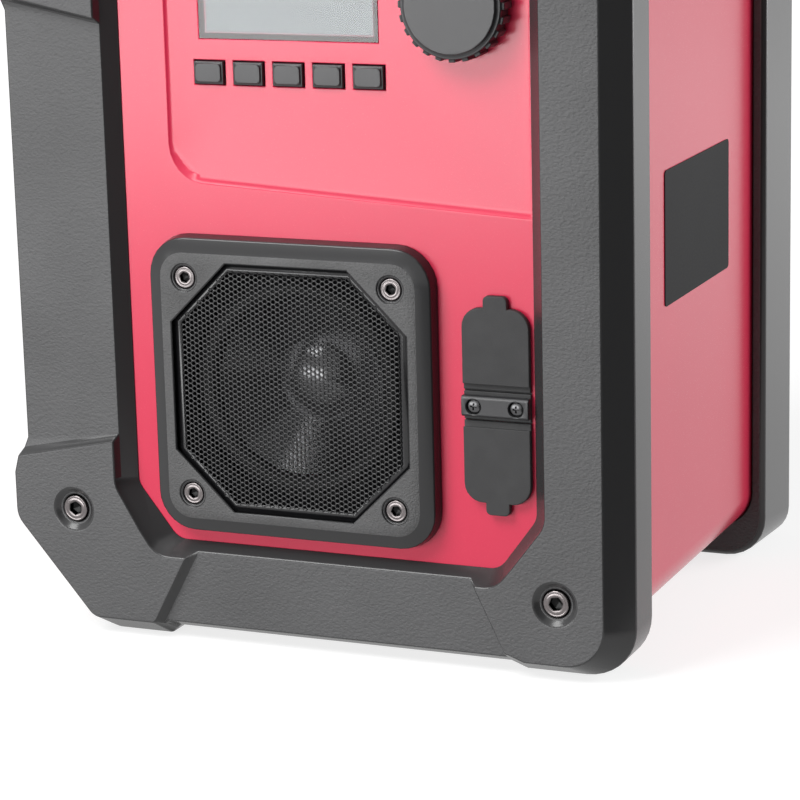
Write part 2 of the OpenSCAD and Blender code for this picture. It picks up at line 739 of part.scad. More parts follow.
module driver_magnet() {
    y = basket_back + plate_t;
    color(black) turned(spk_x, spk_z)
        polygon([[14, y], [magnet_r, y], [magnet_r, y + magnet_t], [14, y + magnet_t]]);
}

module driver_yoke() {
    y = basket_back + plate_t + magnet_t;
    color(steel) turned(spk_x, spk_z) polygon([[0, basket_back + 1], [pole_r, basket_back + 1],
        [pole_r, y], [22, y], [22, y + plate_t], [0, y + plate_t]]);
}

module driver_screws() {
    head = flange_y + flange_t;
    color(steel) for (p = driver_screw_places) translate([p.x, 0, p.y]) union() {
        rod_y(0, 0, head, head + 1.8, driver_head_r);
        rod_y(0, 0, panel_back - 2.2, head + 1, 1.5);
    }
}

cone_y = flange_y - 0.6;
cone_depth = 15;
module driver_cone() {
    color(black) turned(spk_x, spk_z) polygon([[cone_rim_r, cone_y], [cone_rim_r, cone_y + 0.8],
        [coil_r, cone_y + cone_depth + 0.8], [coil_r, cone_y + cone_depth]]);
}

function cone_at(r) = cone_y + cone_depth * (cone_rim_r - r) / (cone_rim_r - coil_r);
cap_r = 13;
module dust_cap() {
    rise = 5;
    sphere_r = (cap_r * cap_r + rise * rise) / (2 * rise);
    edge = asin(cap_r / sphere_r);
    c = [0, cone_at(cap_r) + sphere_r * cos(edge)];
    color([0.3, 0.3, 0.31]) turned(spk_x, spk_z)
        polygon(concat(arc(c, sphere_r, -90 + edge, -90, 8), arc(c, sphere_r - 0.7, -90, -90 + edge * 0.96, 8)));
}

module voice_coil() {
    y1 = basket_back + 8.5;
    color([0.72, 0.42, 0.22]) turned(spk_x, spk_z) polygon([[coil_r - 0.4, cone_y + cone_depth],
        [coil_r, cone_y + cone_depth], [coil_r, y1 - 6], [coil_r + 0.6, y1 - 6], [coil_r + 0.6, y1],
        [coil_r - 0.4, y1]]);
}

// ---- Port cover and the sockets behind it ----

hinge_off = 5.3;
barrel_r = strap_t / 2;
barrel_y = panel_y - move_gap / 2 - barrel_r;
lobe_w = 7.8;
lobe_l = 3.8;

module port_strap() {
    color(black) difference() {
        block(port_cx - cover_w / 2, port_cx + cover_w / 2, panel_y - strap_t, panel_y,
            port_cz - hinge_off + barrel_r + move_gap, port_cz + hinge_off - barrel_r - move_gap);
        for (x = [-1, 1]) rod_y(port_cx + x * strip_pitch / 2, port_cz, panel_y - 3, panel_y + 1, 1.2 + screw_gap);
    }
}

module clamp_strip() {
    y0 = panel_y - strap_t - strip_t;
    h = strip_h / 2;
    c = 0.7;
    color(black) difference() {
        along_x(port_cx - cover_w / 2, port_cx + cover_w / 2) polygon([
            [y0 + strip_t, port_cz - h], [y0 + strip_t, port_cz + h], [y0 + c, port_cz + h],
            [y0, port_cz + h - c], [y0, port_cz - h + c], [y0 + c, port_cz - h]]);
        for (x = [-1, 1]) {
            rod_y(port_cx + x * strip_pitch / 2, port_cz, y0 - 1, y0 + 1.5, 2.35 + screw_gap);
            rod_y(port_cx + x * strip_pitch / 2, port_cz, y0 - 1, y0 + strip_t + 1, 1.2 + screw_gap);
        }
    }
}

module clamp_screws() {
    y0 = panel_y - strap_t - strip_t + 0.2;
    color(black) for (x = [-1, 1]) translate([port_cx + x * strip_pitch / 2, 0, port_cz]) difference() {
        union() {
            rod_y(0, 0, y0, y0 + 1.3, 2.35);
            rod_y(0, 0, y0 + 1, panel_back + 2, 1.2);
        }
        block(-1.3, 1.3, y0 - 1, y0 + 0.8, -0.35, 0.35);
        block(-0.35, 0.35, y0 - 1, y0 + 0.8, -1.3, 1.3);
    }
}

// One rubber flap with its hinge barrel and pull tab. Side is 1 for the upper one, -1 for the lower.
module flap(side) {
    y1 = panel_y - move_gap / 2;
    x0 = port_cx - cover_w / 2;
    x1 = port_cx + cover_w / 2;
    r = 6;
    start = hinge_off + 1.4;
    outline = concat([[x0, start], [x1, start]], arc([x1 - r, cover_reach - r], r, 0, 90, 6),
        [[port_cx + lobe_w / 2, cover_reach]],
        arc([port_cx + lobe_w / 2 - 1.6, cover_reach + lobe_l - 1.6], 1.6, 0, 90, 4),
        arc([port_cx - lobe_w / 2 + 1.6, cover_reach + lobe_l - 1.6], 1.6, 90, 180, 4),
        [[port_cx - lobe_w / 2, cover_reach]], arc([x0 + r, cover_reach - r], r, 90, 180, 6));
    color(black) translate([0, 0, port_cz]) scale([1, 1, side]) {
        along_y(y1 - flap_t, y1) polygon(outline);
        rod_x(barrel_y, hinge_off, x0, x1, barrel_r);
        block(x0, x1, y1 - strap_t, y1, hinge_off, start + 1);
    }
}

module aux_flap() { flap(1); }
module dc_flap() { flap(-1); }

module aux_socket() {
    z = port_cz + socket_rise;
    color(black) difference() {
        union() {
            block(port_cx - 4.5, port_cx + 4.5, panel_back, panel_back + 13, z - 5.5, z + 5.5);
            rod_y(port_cx, z, panel_y + 0.4, panel_back + 1, aux_bush_r);
        }
        rod_y(port_cx, z, panel_y - 1, panel_back + 11.4, aux_d / 2);
    }
}

module dc_socket() {
    z = port_cz - socket_rise;
    color(black) union() {
        difference() {
            union() {
                block(port_cx - 6, port_cx + 6, panel_back, panel_back + 12, z - 6.5, z + 6.5);
                rod_y(port_cx, z, panel_y + 0.4, panel_back + 1, dc_bush_r);
            }
            rod_y(port_cx, z, panel_y - 1, panel_back + 9, dc_d / 2);
        }
        rod_y(port_cx, z, panel_y + 1.6, panel_back + 9.5, 1);
    }
}

// ---- Controls ----

module display_window() {
    color([0.1, 0.12, 0.15, 0.6]) block(display_cx - display_w / 2, display_cx + display_w / 2,
        pad_y + window_drop, pad_y + window_drop + window_t,
        display_cz - display_h / 2, display_cz + display_h / 2);
}

module lcd_module() {
    color([0.55, 0.62, 0.50]) block(display_cx - display_w / 2, display_cx + display_w / 2,
        panel_back, board_y, display_cz - display_h / 2, display_cz + display_h / 2);
}

module volume_knob() {
    y1 = pad_y - 0.5;
    ribs = 24;
    color(black) difference() {
        union() {
            rod_y(knob_cx, knob_cz, knob_front + 1, y1, knob_d / 2 - 1);
            rod_y(knob_cx, knob_cz, knob_front, knob_front + 2, knob_d / 2 - 2.4);
            for (i = [0:ribs - 1]) translate([knob_cx, 0, knob_cz]) rotate([0, i * 360 / ribs, 0])
                block(knob_d / 2 - 2, knob_d / 2, knob_front + 1.6, y1, -1.1, 1.1);
        }
        rod_y(knob_cx, knob_cz, bush_front - 0.4, y1 + 1, bush_r + 1);
        rod_y(knob_cx, knob_cz, knob_front + 1.5, y1 + 1, shaft_r);
    }
}

module encoder_body() {
    color(steel) difference() {
        union() {
            block(knob_cx - encoder_w / 2, knob_cx + encoder_w / 2, panel_back, board_y,
                knob_cz - encoder_w / 2, knob_cz + encoder_w / 2);
            rod_y(knob_cx, knob_cz, bush_front, panel_back + 1, bush_r);
        }
        rod_y(knob_cx, knob_cz, bush_front - 1, panel_back + 4, shaft_r - 0.6 + pin_gap);
    }
}

module encoder_shaft() {
    color(steel) union() {
        rod_y(knob_cx, knob_cz, bush_front - 1, panel_back + 3.6, shaft_r - 0.6);
        rod_y(knob_cx, knob_cz, knob_front + 1.5, bush_front - 0.2, shaft_r);
    }
}

module push_key(i) {
    x = key_x(i);
    y0 = pad_y - 1.6;
    color(black) union() {
        slab(y0, y0 + 1, round_rect(x - key_w / 2 + 0.6, x + key_w / 2 - 0.6,
            key_cz - key_h / 2 + 0.6, key_cz + key_h / 2 - 0.6, 1.2, 4));
        block(x - key_w / 2, x + key_w / 2, y0 + 0.6, panel_back + 1, key_cz - key_h / 2, key_cz + key_h / 2);
        block(x - key_w / 2 - 0.9, x + key_w / 2 + 0.9, panel_back + 0.2, panel_back + 1.1,
            key_cz - key_h / 2 - 0.9, key_cz + key_h / 2 + 0.9);
    }
}

module power_key() { push_key(0); }
module mode_key() { push_key(1); }
module down_key() { push_key(2); }
module up_key() { push_key(3); }
module preset_key() { push_key(4); }

module key_switches() {
    nub = panel_back + 1.1 + key_travel + 0.3;
    color(steel) for (i = [0:key_names - 1]) union() {
        block(key_x(i) - 3, key_x(i) + 3, board_y - 3.2, board_y, key_cz - 3, key_cz + 3);
        rod_y(key_x(i), key_cz, nub, board_y - 3, 1.7);
    }
}

module control_board() {
    color([0.05, 0.30, 0.16]) difference() {
        block(board_x0, board_x1, board_y, board_y + board_t, board_z0, board_z1);
        for (p = board_posts) rod_y(p.x, p.y, board_y - 1, board_y + board_t + 1, 1.2 + screw_gap);
    }
}

main_board_y = bay_back_y - 10;
main_board_x = 52;
main_board_h = 96;
main_board_z = [bay_cz - main_board_h / 2, bay_cz + main_board_h / 2];
main_posts = [for (x = [-1, 1], z = [main_board_z[0] + 5, main_board_z[1] - 5]) [x * (main_board_x - 12), z]];

module board_screw(place, head_y, way) {
    translate([place.x, head_y, place.y]) rotate([0, 0, way]) union() {
        rod_y(0, 0, -1.6, 0, 2.2);
        rod_y(0, 0, -0.6, 6, 1.2);
    }
}

module board_screws() {
    color(steel) {
        for (p = board_posts) board_screw(p, board_y + board_t, 180);
        for (p = main_posts) board_screw(p, main_board_y, 0);
    }
}

capacitor_r = 4.5;
capacitor_pitch = 12;
amplifier_w = 26;
amplifier_h = 16;
module main_board() {
    y0 = main_board_y;
    y1 = main_board_y + board_t;
    low = main_board_z[0];
    color([0.05, 0.30, 0.16]) difference() {
        union() {
            block(-main_board_x, main_board_x, y0, y1, main_board_z[0], main_board_z[1]);
            for (i = [0:3]) rod_y((i - 3) * capacitor_pitch, low + 14, y0 - 12, y0 + 0.5, capacitor_r);
            block(8, 8 + amplifier_w, y0 - 3, y0 + 0.5, low + 6, low + 6 + amplifier_h);
        }
        for (p = main_posts) rod_y(p.x, p.y, y0 - 1, y1 + 1, 1.2 + screw_gap);
    }
}

sink_w = 52;
sink_h = 28;
sink_d = 18;
sink_base = 4;
sink_fins = 8;
fin_t = 1.6;
module heat_sink() {
    y1 = main_board_y;
    z0 = bay_cz + 6;
    color(steel) union() {
        block(-sink_w / 2, sink_w / 2, y1 - sink_base, y1, z0, z0 + sink_h);
        for (i = [0:sink_fins - 1]) let (x = -sink_w / 2 + i * (sink_w - fin_t) / (sink_fins - 1))
            block(x, x + fin_t, y1 - sink_d, y1 - sink_base + 1, z0, z0 + sink_h);
    }
}

// ---- Rear panel, battery bay and door ----

module rear_panel() {
    x = bay_w / 2;
    z0 = bay_cz - bay_h / 2;
    z1 = bay_cz + bay_h / 2;
    vents = 5;
    color(charcoal) difference() {
        union() {
            slab(rear_panel_in, rear_panel_y, housing_outline());
            block(-x - bay_wall, x + bay_wall, bay_back_y, rear_panel_y - 1, z0 - bay_wall, z1 + bay_wall);
            for (p = main_posts) rod_y(p.x, p.y, main_board_y + board_t, bay_back_y + 1, 3);
            for (side = [-1, 1]) hinge_ear(side);
            block(-14, 14, rear_panel_y - 1, rear_panel_y + 6.4, door_tz + 1.2, door_tz + 4);
        }
        block(-x, x, bay_in_y, rear_panel_y + 1, z0, z1);
        for (p = main_posts) rod_y(p.x, p.y, main_board_y - 1, main_board_y + 7, 1.2 + screw_gap);
        for (p = rear_screw_places) rod_y(p.x, p.y, rear_panel_in - 1, rear_panel_y + 1, frame_shank_d / 2 + screw_gap);
        for (i = [0:vents - 1], side = [-1, 1]) block(side * 36 - 18, side * 36 + 18,
            rear_panel_in - 1, rear_panel_y + 1, door_tz + 12 + i * 6, door_tz + 15 + i * 6);
        rod_x(hinge_y, hinge_z, -hinge_half - ear_w - 1, hinge_half + ear_w + 1, hinge_pin_r);
    }
}

module hinge_ear(side) {
    x0 = side > 0 ? hinge_half + 0.4 : -hinge_half - ear_w;
    x1 = x0 + ear_w - 0.4;
    rod_x(hinge_y, hinge_z, x0, x1, hinge_r);
    block(x0, x1, rear_panel_y - 1, hinge_y, hinge_z - hinge_r, hinge_z + hinge_r);
}

module battery_door() {
    x = bay_w / 2 + door_lap;
    color(charcoal) difference() {
        union() {
            slab(door_y, door_y + door_t, round_rect(-x, x, door_b, door_tz, 4));
            rod_x(hinge_y, hinge_z, -hinge_half, hinge_half, hinge_r);
            block(-hinge_half, hinge_half, door_y + 0.4, door_y + door_t, hinge_z, door_b + 1);
            block(-12, 12, door_y + door_t - 1, door_y + door_t + 1.6, door_tz - 12, door_tz - 8);
        }
        rod_x(hinge_y, hinge_z, -hinge_half - 1, hinge_half + 1, hinge_pin_r + pin_gap);
    }
}

module door_hinge_pin() {
    color(steel) rod_x(hinge_y, hinge_z, -hinge_half - ear_w + 1, hinge_half + ear_w - 1, hinge_pin_r);
}

module door_seal() {
    grow = 1.4;
    x = bay_w / 2;
    z0 = bay_cz - bay_h / 2;
    z1 = bay_cz + bay_h / 2;
    color(black) difference() {
        slab(rear_panel_y, door_y - 0.2, round_rect(-x - grow - 1.4, x + grow + 1.4,
            z0 - grow - 1.4, z1 + grow + 1.4, 3));
        slab(rear_panel_y - 1, door_y + 1, round_rect(-x - grow, x + grow, z0 - grow, z1 + grow, 1.6));
    }
}

dock_x = 33;
dock_low = 12;
dock_high = 8;
dock_z0 = bay_cz - bay_h / 2 + dock_low;
dock_z1 = bay_cz + bay_h / 2 - dock_high;
module battery_dock() {
    y = bay_in_y;
    color(black) union() {
        block(-dock_x, dock_x, y, y + 3, dock_z0, dock_z1);
        for (side = [-1, 1]) along_dock(side) polygon([[0, 2], [2.5, 2], [2.5, 8], [7, 8], [7, 10.5], [0, 10.5]]);
        block(-20, 20, y + 2, y + 14, dock_z1 - 14, dock_z1);
    }
}

// One rail of the dock. The outline is [distance in from the edge, height off the bay's wall].
module along_dock(side) {
    translate([side * dock_x, bay_in_y, dock_z0 + 8]) scale([-side, 1, 1])
        linear_extrude(dock_z1 - dock_z0 - 24) children();
}

module battery_contacts() {
    color([0.80, 0.62, 0.30]) for (i = [0:3]) translate([-15 + i * 10, 0, 0])
        block(-0.4, 0.4, bay_in_y + 5, bay_in_y + 12, dock_z1 - 24, dock_z1 - 14);
}

// ---- Carry handle ----

bar_t = 12;
grip_d = 14;
module carry_handle() {
    y1 = pivot_y + handle_reach;
    color(black) difference() {
        union() {
            for (side = [-1, 1]) {
                x0 = side > 0 ? handle_half - arm_t : -handle_half;
                rod_x(pivot_y, pivot_z, x0, x0 + arm_t, 7);
                block(x0, x0 + arm_t, pivot_y, y1, pivot_z - bar_t / 2, pivot_z + bar_t / 2);
            }
            along_x(-handle_half, handle_half) polygon([for (p = round_rect(y1 - 8, y1 + 8,
                pivot_z - bar_t / 2, pivot_z + bar_t / 2, 5, 5)) p]);
        }
        rod_x(pivot_y, pivot_z, -handle_half - 1, handle_half + 1, pivot_d / 2 + pin_gap);
    }
}

module handle_grip() {
    y1 = pivot_y + handle_reach;
    color(charcoal) difference() {
        along_x(-grip_l / 2, grip_l / 2) polygon(round_rect(y1 - grip_w / 2, y1 + grip_w / 2,
            pivot_z - grip_d / 2, pivot_z + grip_d / 2, 6, 5));
        along_x(-grip_l / 2 - 1, grip_l / 2 + 1) polygon(round_rect(y1 - 8, y1 + 8,
            pivot_z - bar_t / 2, pivot_z + bar_t / 2, 5, 5));
    }
}

// Shoulder bolts: head inside the arm, shoulder through it, thread in the housing's lug
module handle_bolts() {
    color(steel) for (side = [-1, 1]) scale([side, 1, 1]) union() {
        rod_x(pivot_y, pivot_z, handle_half - arm_t - 3.2, handle_half - arm_t - 0.2, 6);
        rod_x(pivot_y, pivot_z, handle_half - arm_t - 1, handle_half + move_gap - 0.05, pivot_d / 2);
        rod_x(pivot_y, pivot_z, handle_half - 1, handle_half + lug_t, pivot_d / 2 - 2 - 0.1);
    }
}

// ---- Telescopic aerial, lying along +X when folded ----

module antenna_bracket() {
    base_z = house_t + 3.8;
    half = knuckle_w / 2 + move_gap;
    color(black) difference() {
        union() {
            block(aerial_x - 8, aerial_x + 6, aerial_y - half - ear_t, aerial_y + half + ear_t, house_t, base_z);
            for (side = [-1, 1]) {
                y0 = side > 0 ? aerial_y + half : aerial_y - half - ear_t;
                rod_y(aerial_x, aerial_z, y0, y0 + ear_t, 3.6);
                block(aerial_x - 3.6, aerial_x + 3.6, y0, y0 + ear_t, base_z - 1, aerial_z);
            }
        }
        rod_y(aerial_x, aerial_z, aerial_y - 10, aerial_y + 10, pin_r);
    }
}

module antenna_pin() {
    half = knuckle_w / 2 + move_gap + ear_t;
    color(steel) rod_y(aerial_x, aerial_z, aerial_y - half, aerial_y + half, pin_r);
}

tube_x = aerial_x + 6;
module antenna_arm() {
    color(steel) difference() {
        union() {
            rod_y(aerial_x, aerial_z, aerial_y - knuckle_w / 2, aerial_y + knuckle_w / 2, 3.6);
            block(aerial_x, tube_x + 2, aerial_y - knuckle_w / 2, aerial_y + knuckle_w / 2,
                aerial_z - 2, aerial_z + 2);
            rod_x(aerial_y, aerial_z, tube_x, tube_x + aerial_tube, aerial_r);
        }
        rod_y(aerial_x, aerial_z, aerial_y - 10, aerial_y + 10, pin_r + pin_gap);
        rod_x(aerial_y, aerial_z, tube_x + 4, tube_x + aerial_tube + 1, aerial_r - tube_wall);
    }
}

module antenna_stage() {
    x1 = tube_x + aerial_tube + 2;
    color(steel) difference() {
        rod_x(aerial_y, aerial_z, tube_x + 5, x1, stage_r);
        rod_x(aerial_y, aerial_z, tube_x + 8, x1 + 1, stage_r - tube_wall);
    }
}

module antenna_tip() {
    x1 = tube_x + aerial_tube + 4;
    color(steel) union() {
        rod_x(aerial_y, aerial_z, tube_x + 9, x1 + 1, tip_r);
        rod_x(aerial_y, aerial_z, x1, x1 + 7, aerial_r - 0.4);
    }
}

// ---- Rating label ----

module rating_label() {
    y0 = front + 51.5;
    z1 = spk_z + 66.4;
    color(black) along_x(house_r, house_r + 0.3)
        polygon(round_rect(y0, y0 + label_l, z1 - label_h, z1, 1.5, 4));
}

front_frame();
rear_frame();
main_housing();
front_panel();
rear_panel();
front_seal();
rear_seal();
front_frame_screws();
rear_frame_screws();
speaker_bezel();
speaker_grille();
grille_felt();
bezel_screws();
speaker_gasket();
driver_basket();
driver_surround();
driver_spider();
driver_top_plate();
driver_magnet();
driver_yoke();
driver_screws();
driver_cone();
dust_cap();
voice_coil();
port_strap();
clamp_strip();
clamp_screws();
aux_flap();
dc_flap();
aux_socket();
dc_socket();
display_window();
lcd_module();
volume_knob();
encoder_body();
encoder_shaft();
power_key();
mode_key();
down_key();
up_key();
preset_key();
key_switches();
control_board();
board_screws();
main_board();
heat_sink();
battery_dock();
battery_contacts();
battery_door();
door_hinge_pin();
door_seal();
carry_handle();
handle_grip();
handle_bolts();
antenna_bracket();
antenna_pin();
antenna_arm();
antenna_stage();
antenna_tip();
rating_label();
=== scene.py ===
import json
import math

import bmesh
import bpy
import numpy
from mathutils import Matrix, Vector, geometry

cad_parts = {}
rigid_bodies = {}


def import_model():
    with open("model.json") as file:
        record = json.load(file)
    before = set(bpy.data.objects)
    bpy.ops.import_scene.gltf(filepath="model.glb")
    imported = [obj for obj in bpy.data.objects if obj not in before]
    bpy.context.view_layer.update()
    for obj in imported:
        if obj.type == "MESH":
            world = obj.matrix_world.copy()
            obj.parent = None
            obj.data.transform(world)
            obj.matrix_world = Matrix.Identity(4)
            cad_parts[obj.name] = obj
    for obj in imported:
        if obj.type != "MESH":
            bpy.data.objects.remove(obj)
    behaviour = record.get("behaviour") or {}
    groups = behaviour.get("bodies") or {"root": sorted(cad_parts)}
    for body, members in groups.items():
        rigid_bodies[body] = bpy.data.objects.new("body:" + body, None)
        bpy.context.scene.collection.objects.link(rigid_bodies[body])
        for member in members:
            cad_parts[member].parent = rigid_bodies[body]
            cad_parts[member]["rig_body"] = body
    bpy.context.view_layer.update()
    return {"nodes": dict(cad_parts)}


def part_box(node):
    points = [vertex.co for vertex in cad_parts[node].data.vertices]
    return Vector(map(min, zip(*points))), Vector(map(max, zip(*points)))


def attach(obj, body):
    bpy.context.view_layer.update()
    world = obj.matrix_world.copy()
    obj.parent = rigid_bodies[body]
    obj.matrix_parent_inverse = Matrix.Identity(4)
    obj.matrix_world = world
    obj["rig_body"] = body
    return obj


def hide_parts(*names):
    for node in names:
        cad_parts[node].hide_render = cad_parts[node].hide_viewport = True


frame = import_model()
cadNodes = frame["nodes"]
slotOf = {name: node.data.materials[0].name for name, node in cadNodes.items()}
print("frame loaded:", len(cadNodes), "solids")

scene = bpy.context.scene
mm = 0.001


# helpers for nodes, meshes and pieces

def addNode(tree, kind, inputs=None, **settings):
    node = tree.nodes.new(kind)
    for key, value in settings.items():
        setattr(node, key, value)
    for key, value in (inputs or {}).items():
        if isinstance(value, bpy.types.NodeSocket):
            tree.links.new(value, node.inputs[key])
        else:
            node.inputs[key].default_value = value
    return node


def mathNode(tree, operation, a, b=None, clamp=False):
    values = {0: a} if b is None else {0: a, 1: b}
    return addNode(tree, "ShaderNodeMath", values, operation=operation, use_clamp=clamp).outputs[0]


def times(tree, a, b):
    return mathNode(tree, "MULTIPLY", a, b)


def plus(tree, a, b):
    return mathNode(tree, "ADD", a, b)


def addObject(name, mesh):
    obj = bpy.data.objects.new(name, mesh)
    scene.collection.objects.link(obj)
    return obj


def meshFrom(bm, name):
    mesh = bpy.data.meshes.new(name)
    bm.to_mesh(mesh)
    bm.free()
    return mesh


def shadedMesh(bm, name, angle):
    # smooth, with a crisp edge where two faces meet at more than this many degrees
    for face in bm.faces:
        face.smooth = True
    mesh = meshFrom(bm, name)
    mesh.set_sharp_from_angle(angle=math.radians(angle))
    return mesh


def bakeModifiers(obj):
    bpy.context.view_layer.update()
    evaluated = obj.evaluated_get(bpy.context.evaluated_depsgraph_get())
    baked = bpy.data.meshes.new_from_object(evaluated)
    obj.modifiers.clear()
    obj.data = baked


def settlePiece(obj, finish, *replaced):
    # one finish, and the body of the solid it stands for; that solid is hidden
    obj.data.materials.clear()
    obj.data.materials.append(finish)
    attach(obj, cadNodes[replaced[0]]["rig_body"])
    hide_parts(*replaced)


def applyTree(obj, tree, values):
    # every input is set by its identifier before the object is first evaluated
    modifier = obj.modifiers.new(tree.name, "NODES")
    modifier.node_group = tree
    for item in tree.interface.items_tree:
        if item.item_type == "SOCKET" and item.in_out == "INPUT" and item.name in values:
            modifier[item.identifier] = values[item.name]
    bakeModifiers(obj)


def newTree(name, sockets):
    tree = bpy.data.node_groups.new(name, "GeometryNodeTree")
    tree.interface.new_socket(name="Geometry", in_out="INPUT", socket_type="NodeSocketGeometry")
    for label, kind in sockets:
        tree.interface.new_socket(name=label, in_out="INPUT", socket_type="NodeSocket" + kind)
    tree.interface.new_socket(name="Geometry", in_out="OUTPUT", socket_type="NodeSocketGeometry")
    return tree, addNode(tree, "NodeGroupInput").outputs, addNode(tree, "NodeGroupOutput").inputs


# studio: camera, floor and light

studio = {
    "cameraPlace": (0.38604, -0.92238, 0.30414),
    "azimuth": 23.022,
    "elevation": 13.694,
    "roll": 1.438,
    "focalLength": 136.763,
    "sensorWidth": 36,
    "shift": (-0.00219, 0.00693),
    "clip": (0.02, 40),        # nearest and furthest distance that the camera shows, in metres
    "ambient": 0.14,
    "floorColour": 0.35,
    "floorHalf": 6,            # half the floor's side in metres
    "floorLevel": -0.0002,     # just under the feet
    "floorLift": 0.78,         # the floor's own white up to the first reach; it is full at the second
    "floorReach": (0.4, 1.5),  # metres from the object's middle
    "lampAim": (0, 0, 0.12),
    "lamps": {  # place, size in metres, power
        "keyLamp": ((-0.45, -0.74, 1.04), (0.64, 0.64), 14.0),
        "lowLamp": ((-0.33, -0.86, 0.14), (0.75, 0.26), 3.9),
        "sideLamp": ((1.15, 0.95, 0.45), (0.9, 0.9), 18.5),
    },
    "cardColour": 0.02,
    "darkCards": {  # black cards that only gloss shows: lowest and highest corner
        "uprightCard": ((0.75, -1.40, 0.0), (0.75, 0.10, 1.2)),
        "floorCard": ((0.13, -1.30, 0.0005), (1.20, -0.10, 0.0005)),
    },
}


def placeCamera():
    azimuth, elevation = math.radians(studio["azimuth"]), math.radians(studio["elevation"])
    roll = math.radians(studio["roll"])
    back = Vector((math.sin(azimuth) * math.cos(elevation),
                   -math.cos(azimuth) * math.cos(elevation), math.sin(elevation)))
    right = Vector((math.cos(azimuth), math.sin(azimuth), 0))
    up = back.cross(right)
    across = right * math.cos(roll) - up * math.sin(roll)
    upward = right * math.sin(roll) + up * math.cos(roll)
    camera = bpy.data.objects.new("studioCamera", bpy.data.cameras.new("studioCamera"))
    scene.collection.objects.link(camera)
    turn = Matrix((across, upward, back)).transposed().to_4x4()
    camera.matrix_world = Matrix.Translation(studio["cameraPlace"]) @ turn
    camera.data.lens = studio["focalLength"]
    camera.data.sensor_width = studio["sensorWidth"]
    camera.data.shift_x, camera.data.shift_y = studio["shift"]
    camera.data.clip_start, camera.data.clip_end = studio["clip"]
    scene.camera = camera


def placeLamp(name, place, size, power):
    lamp = bpy.data.lights.new(name, "AREA")
    lamp.shape = "RECTANGLE"
    lamp.size, lamp.size_y = size
    lamp.energy = power
    holder = bpy.data.objects.new(name, lamp)
    scene.collection.objects.link(holder)
    holder.location = place
    aim = Vector(studio["lampAim"]) - Vector(place)
    holder.rotation_euler = aim.to_track_quat("-Z", "Y").to_euler()


def placeCard(name, low, high):
    # a dark card beside the object: no camera, no shadow and no soft light meets it, only gloss
    middle = [(a + b) / 2 for a, b in zip(low, high)]
    spans = [(b - a) / 2 for a, b in zip(low, high)]
    i, j = [axis for axis in range(3) if spans[axis] > 0]
    bm = bmesh.new()
    corners = []
    for u, v in ((-1, -1), (1, -1), (1, 1), (-1, 1)):
        place = list(middle)
        place[i] += u * spans[i]
        place[j] += v * spans[j]
        corners.append(bm.verts.new(place))
    bm.faces.new(corners)
    card = addObject(name, meshFrom(bm, name))
    material = bpy.data.materials.new(name)
    material.use_nodes = True
    shader = material.node_tree.nodes["Principled BSDF"]
    shader.inputs["Base Color"].default_value = [studio["cardColour"]] * 3 + [1]
    card.data.materials.append(material)
    card.visible_camera = card.visible_shadow = False
    card.visible_diffuse = card.visible_transmission = False


def whiteRays(tree):
    rays = addNode(tree, "ShaderNodeLightPath").outputs
    mirror = mathNode(tree, "MAXIMUM", rays["Is Glossy Ray"], rays["Is Transmission Ray"])
    return mathNode(tree, "MAXIMUM", rays["Is Camera Ray"], mirror)


def paleWorld():
    world = bpy.data.worlds.new("paleStudio")
    world.use_nodes = True
    tree = world.node_tree
    tree.nodes.clear()
    soft = addNode(tree, "ShaderNodeBackground", {"Color": (1, 1, 1, 1), "Strength": studio["ambient"]})
    white = addNode(tree, "ShaderNodeBackground", {"Color": (1, 1, 1, 1), "Strength": 1.0})
    mixed = addNode(tree, "ShaderNodeMixShader", {
        0: whiteRays(tree), 1: soft.outputs[0], 2: white.outputs[0]})
    addNode(tree, "ShaderNodeOutputWorld", {"Surface": mixed.outputs[0]})
    scene.world = world


def paleFloor():
    bm = bmesh.new()
    bmesh.ops.create_grid(bm, x_segments=1, y_segments=1, size=studio["floorHalf"])
    floor = addObject("paleFloor", meshFrom(bm, "paleFloor"))
    floor.location.z = studio["floorLevel"]
    material = bpy.data.materials.new("paleFloor")
    material.use_nodes = True
    tree = material.node_tree
    tree.nodes.clear()
    paper = addNode(tree, "ShaderNodeBsdfDiffuse", {"Color": [studio["floorColour"]] * 3 + [1]})
    place = addNode(tree, "ShaderNodeTexCoord").outputs["Object"]
    away = addNode(tree, "ShaderNodeVectorMath", {0: place}, operation="LENGTH").outputs["Value"]
    near, far = studio["floorReach"]
    level = addNode(tree, "ShaderNodeMapRange", {
        0: away, 1: near, 2: far, 3: studio["floorLift"], 4: 1.0}).outputs[0]
    lift = addNode(tree, "ShaderNodeEmission", {"Strength": times(tree, whiteRays(tree), level)})
    both = addNode(tree, "ShaderNodeAddShader", {0: paper.outputs[0], 1: lift.outputs[0]})
    addNode(tree, "ShaderNodeOutputMaterial", {"Surface": both.outputs[0]})
    floor.data.materials.append(material)


placeCamera()
paleWorld()
paleFloor()
for lampName, (place, size, power) in studio["lamps"].items():
    placeLamp(lampName, place, size, power)
for cardName, (low, high) in studio["darkCards"].items():
    placeCard(cardName, low, high)
scene.view_settings.view_transform = "Standard"
print("studio placed")


# finishes: colour, roughness and its spread, size and depth of the grain in mm, size of the soft patches
# in mm and how far they change the colour

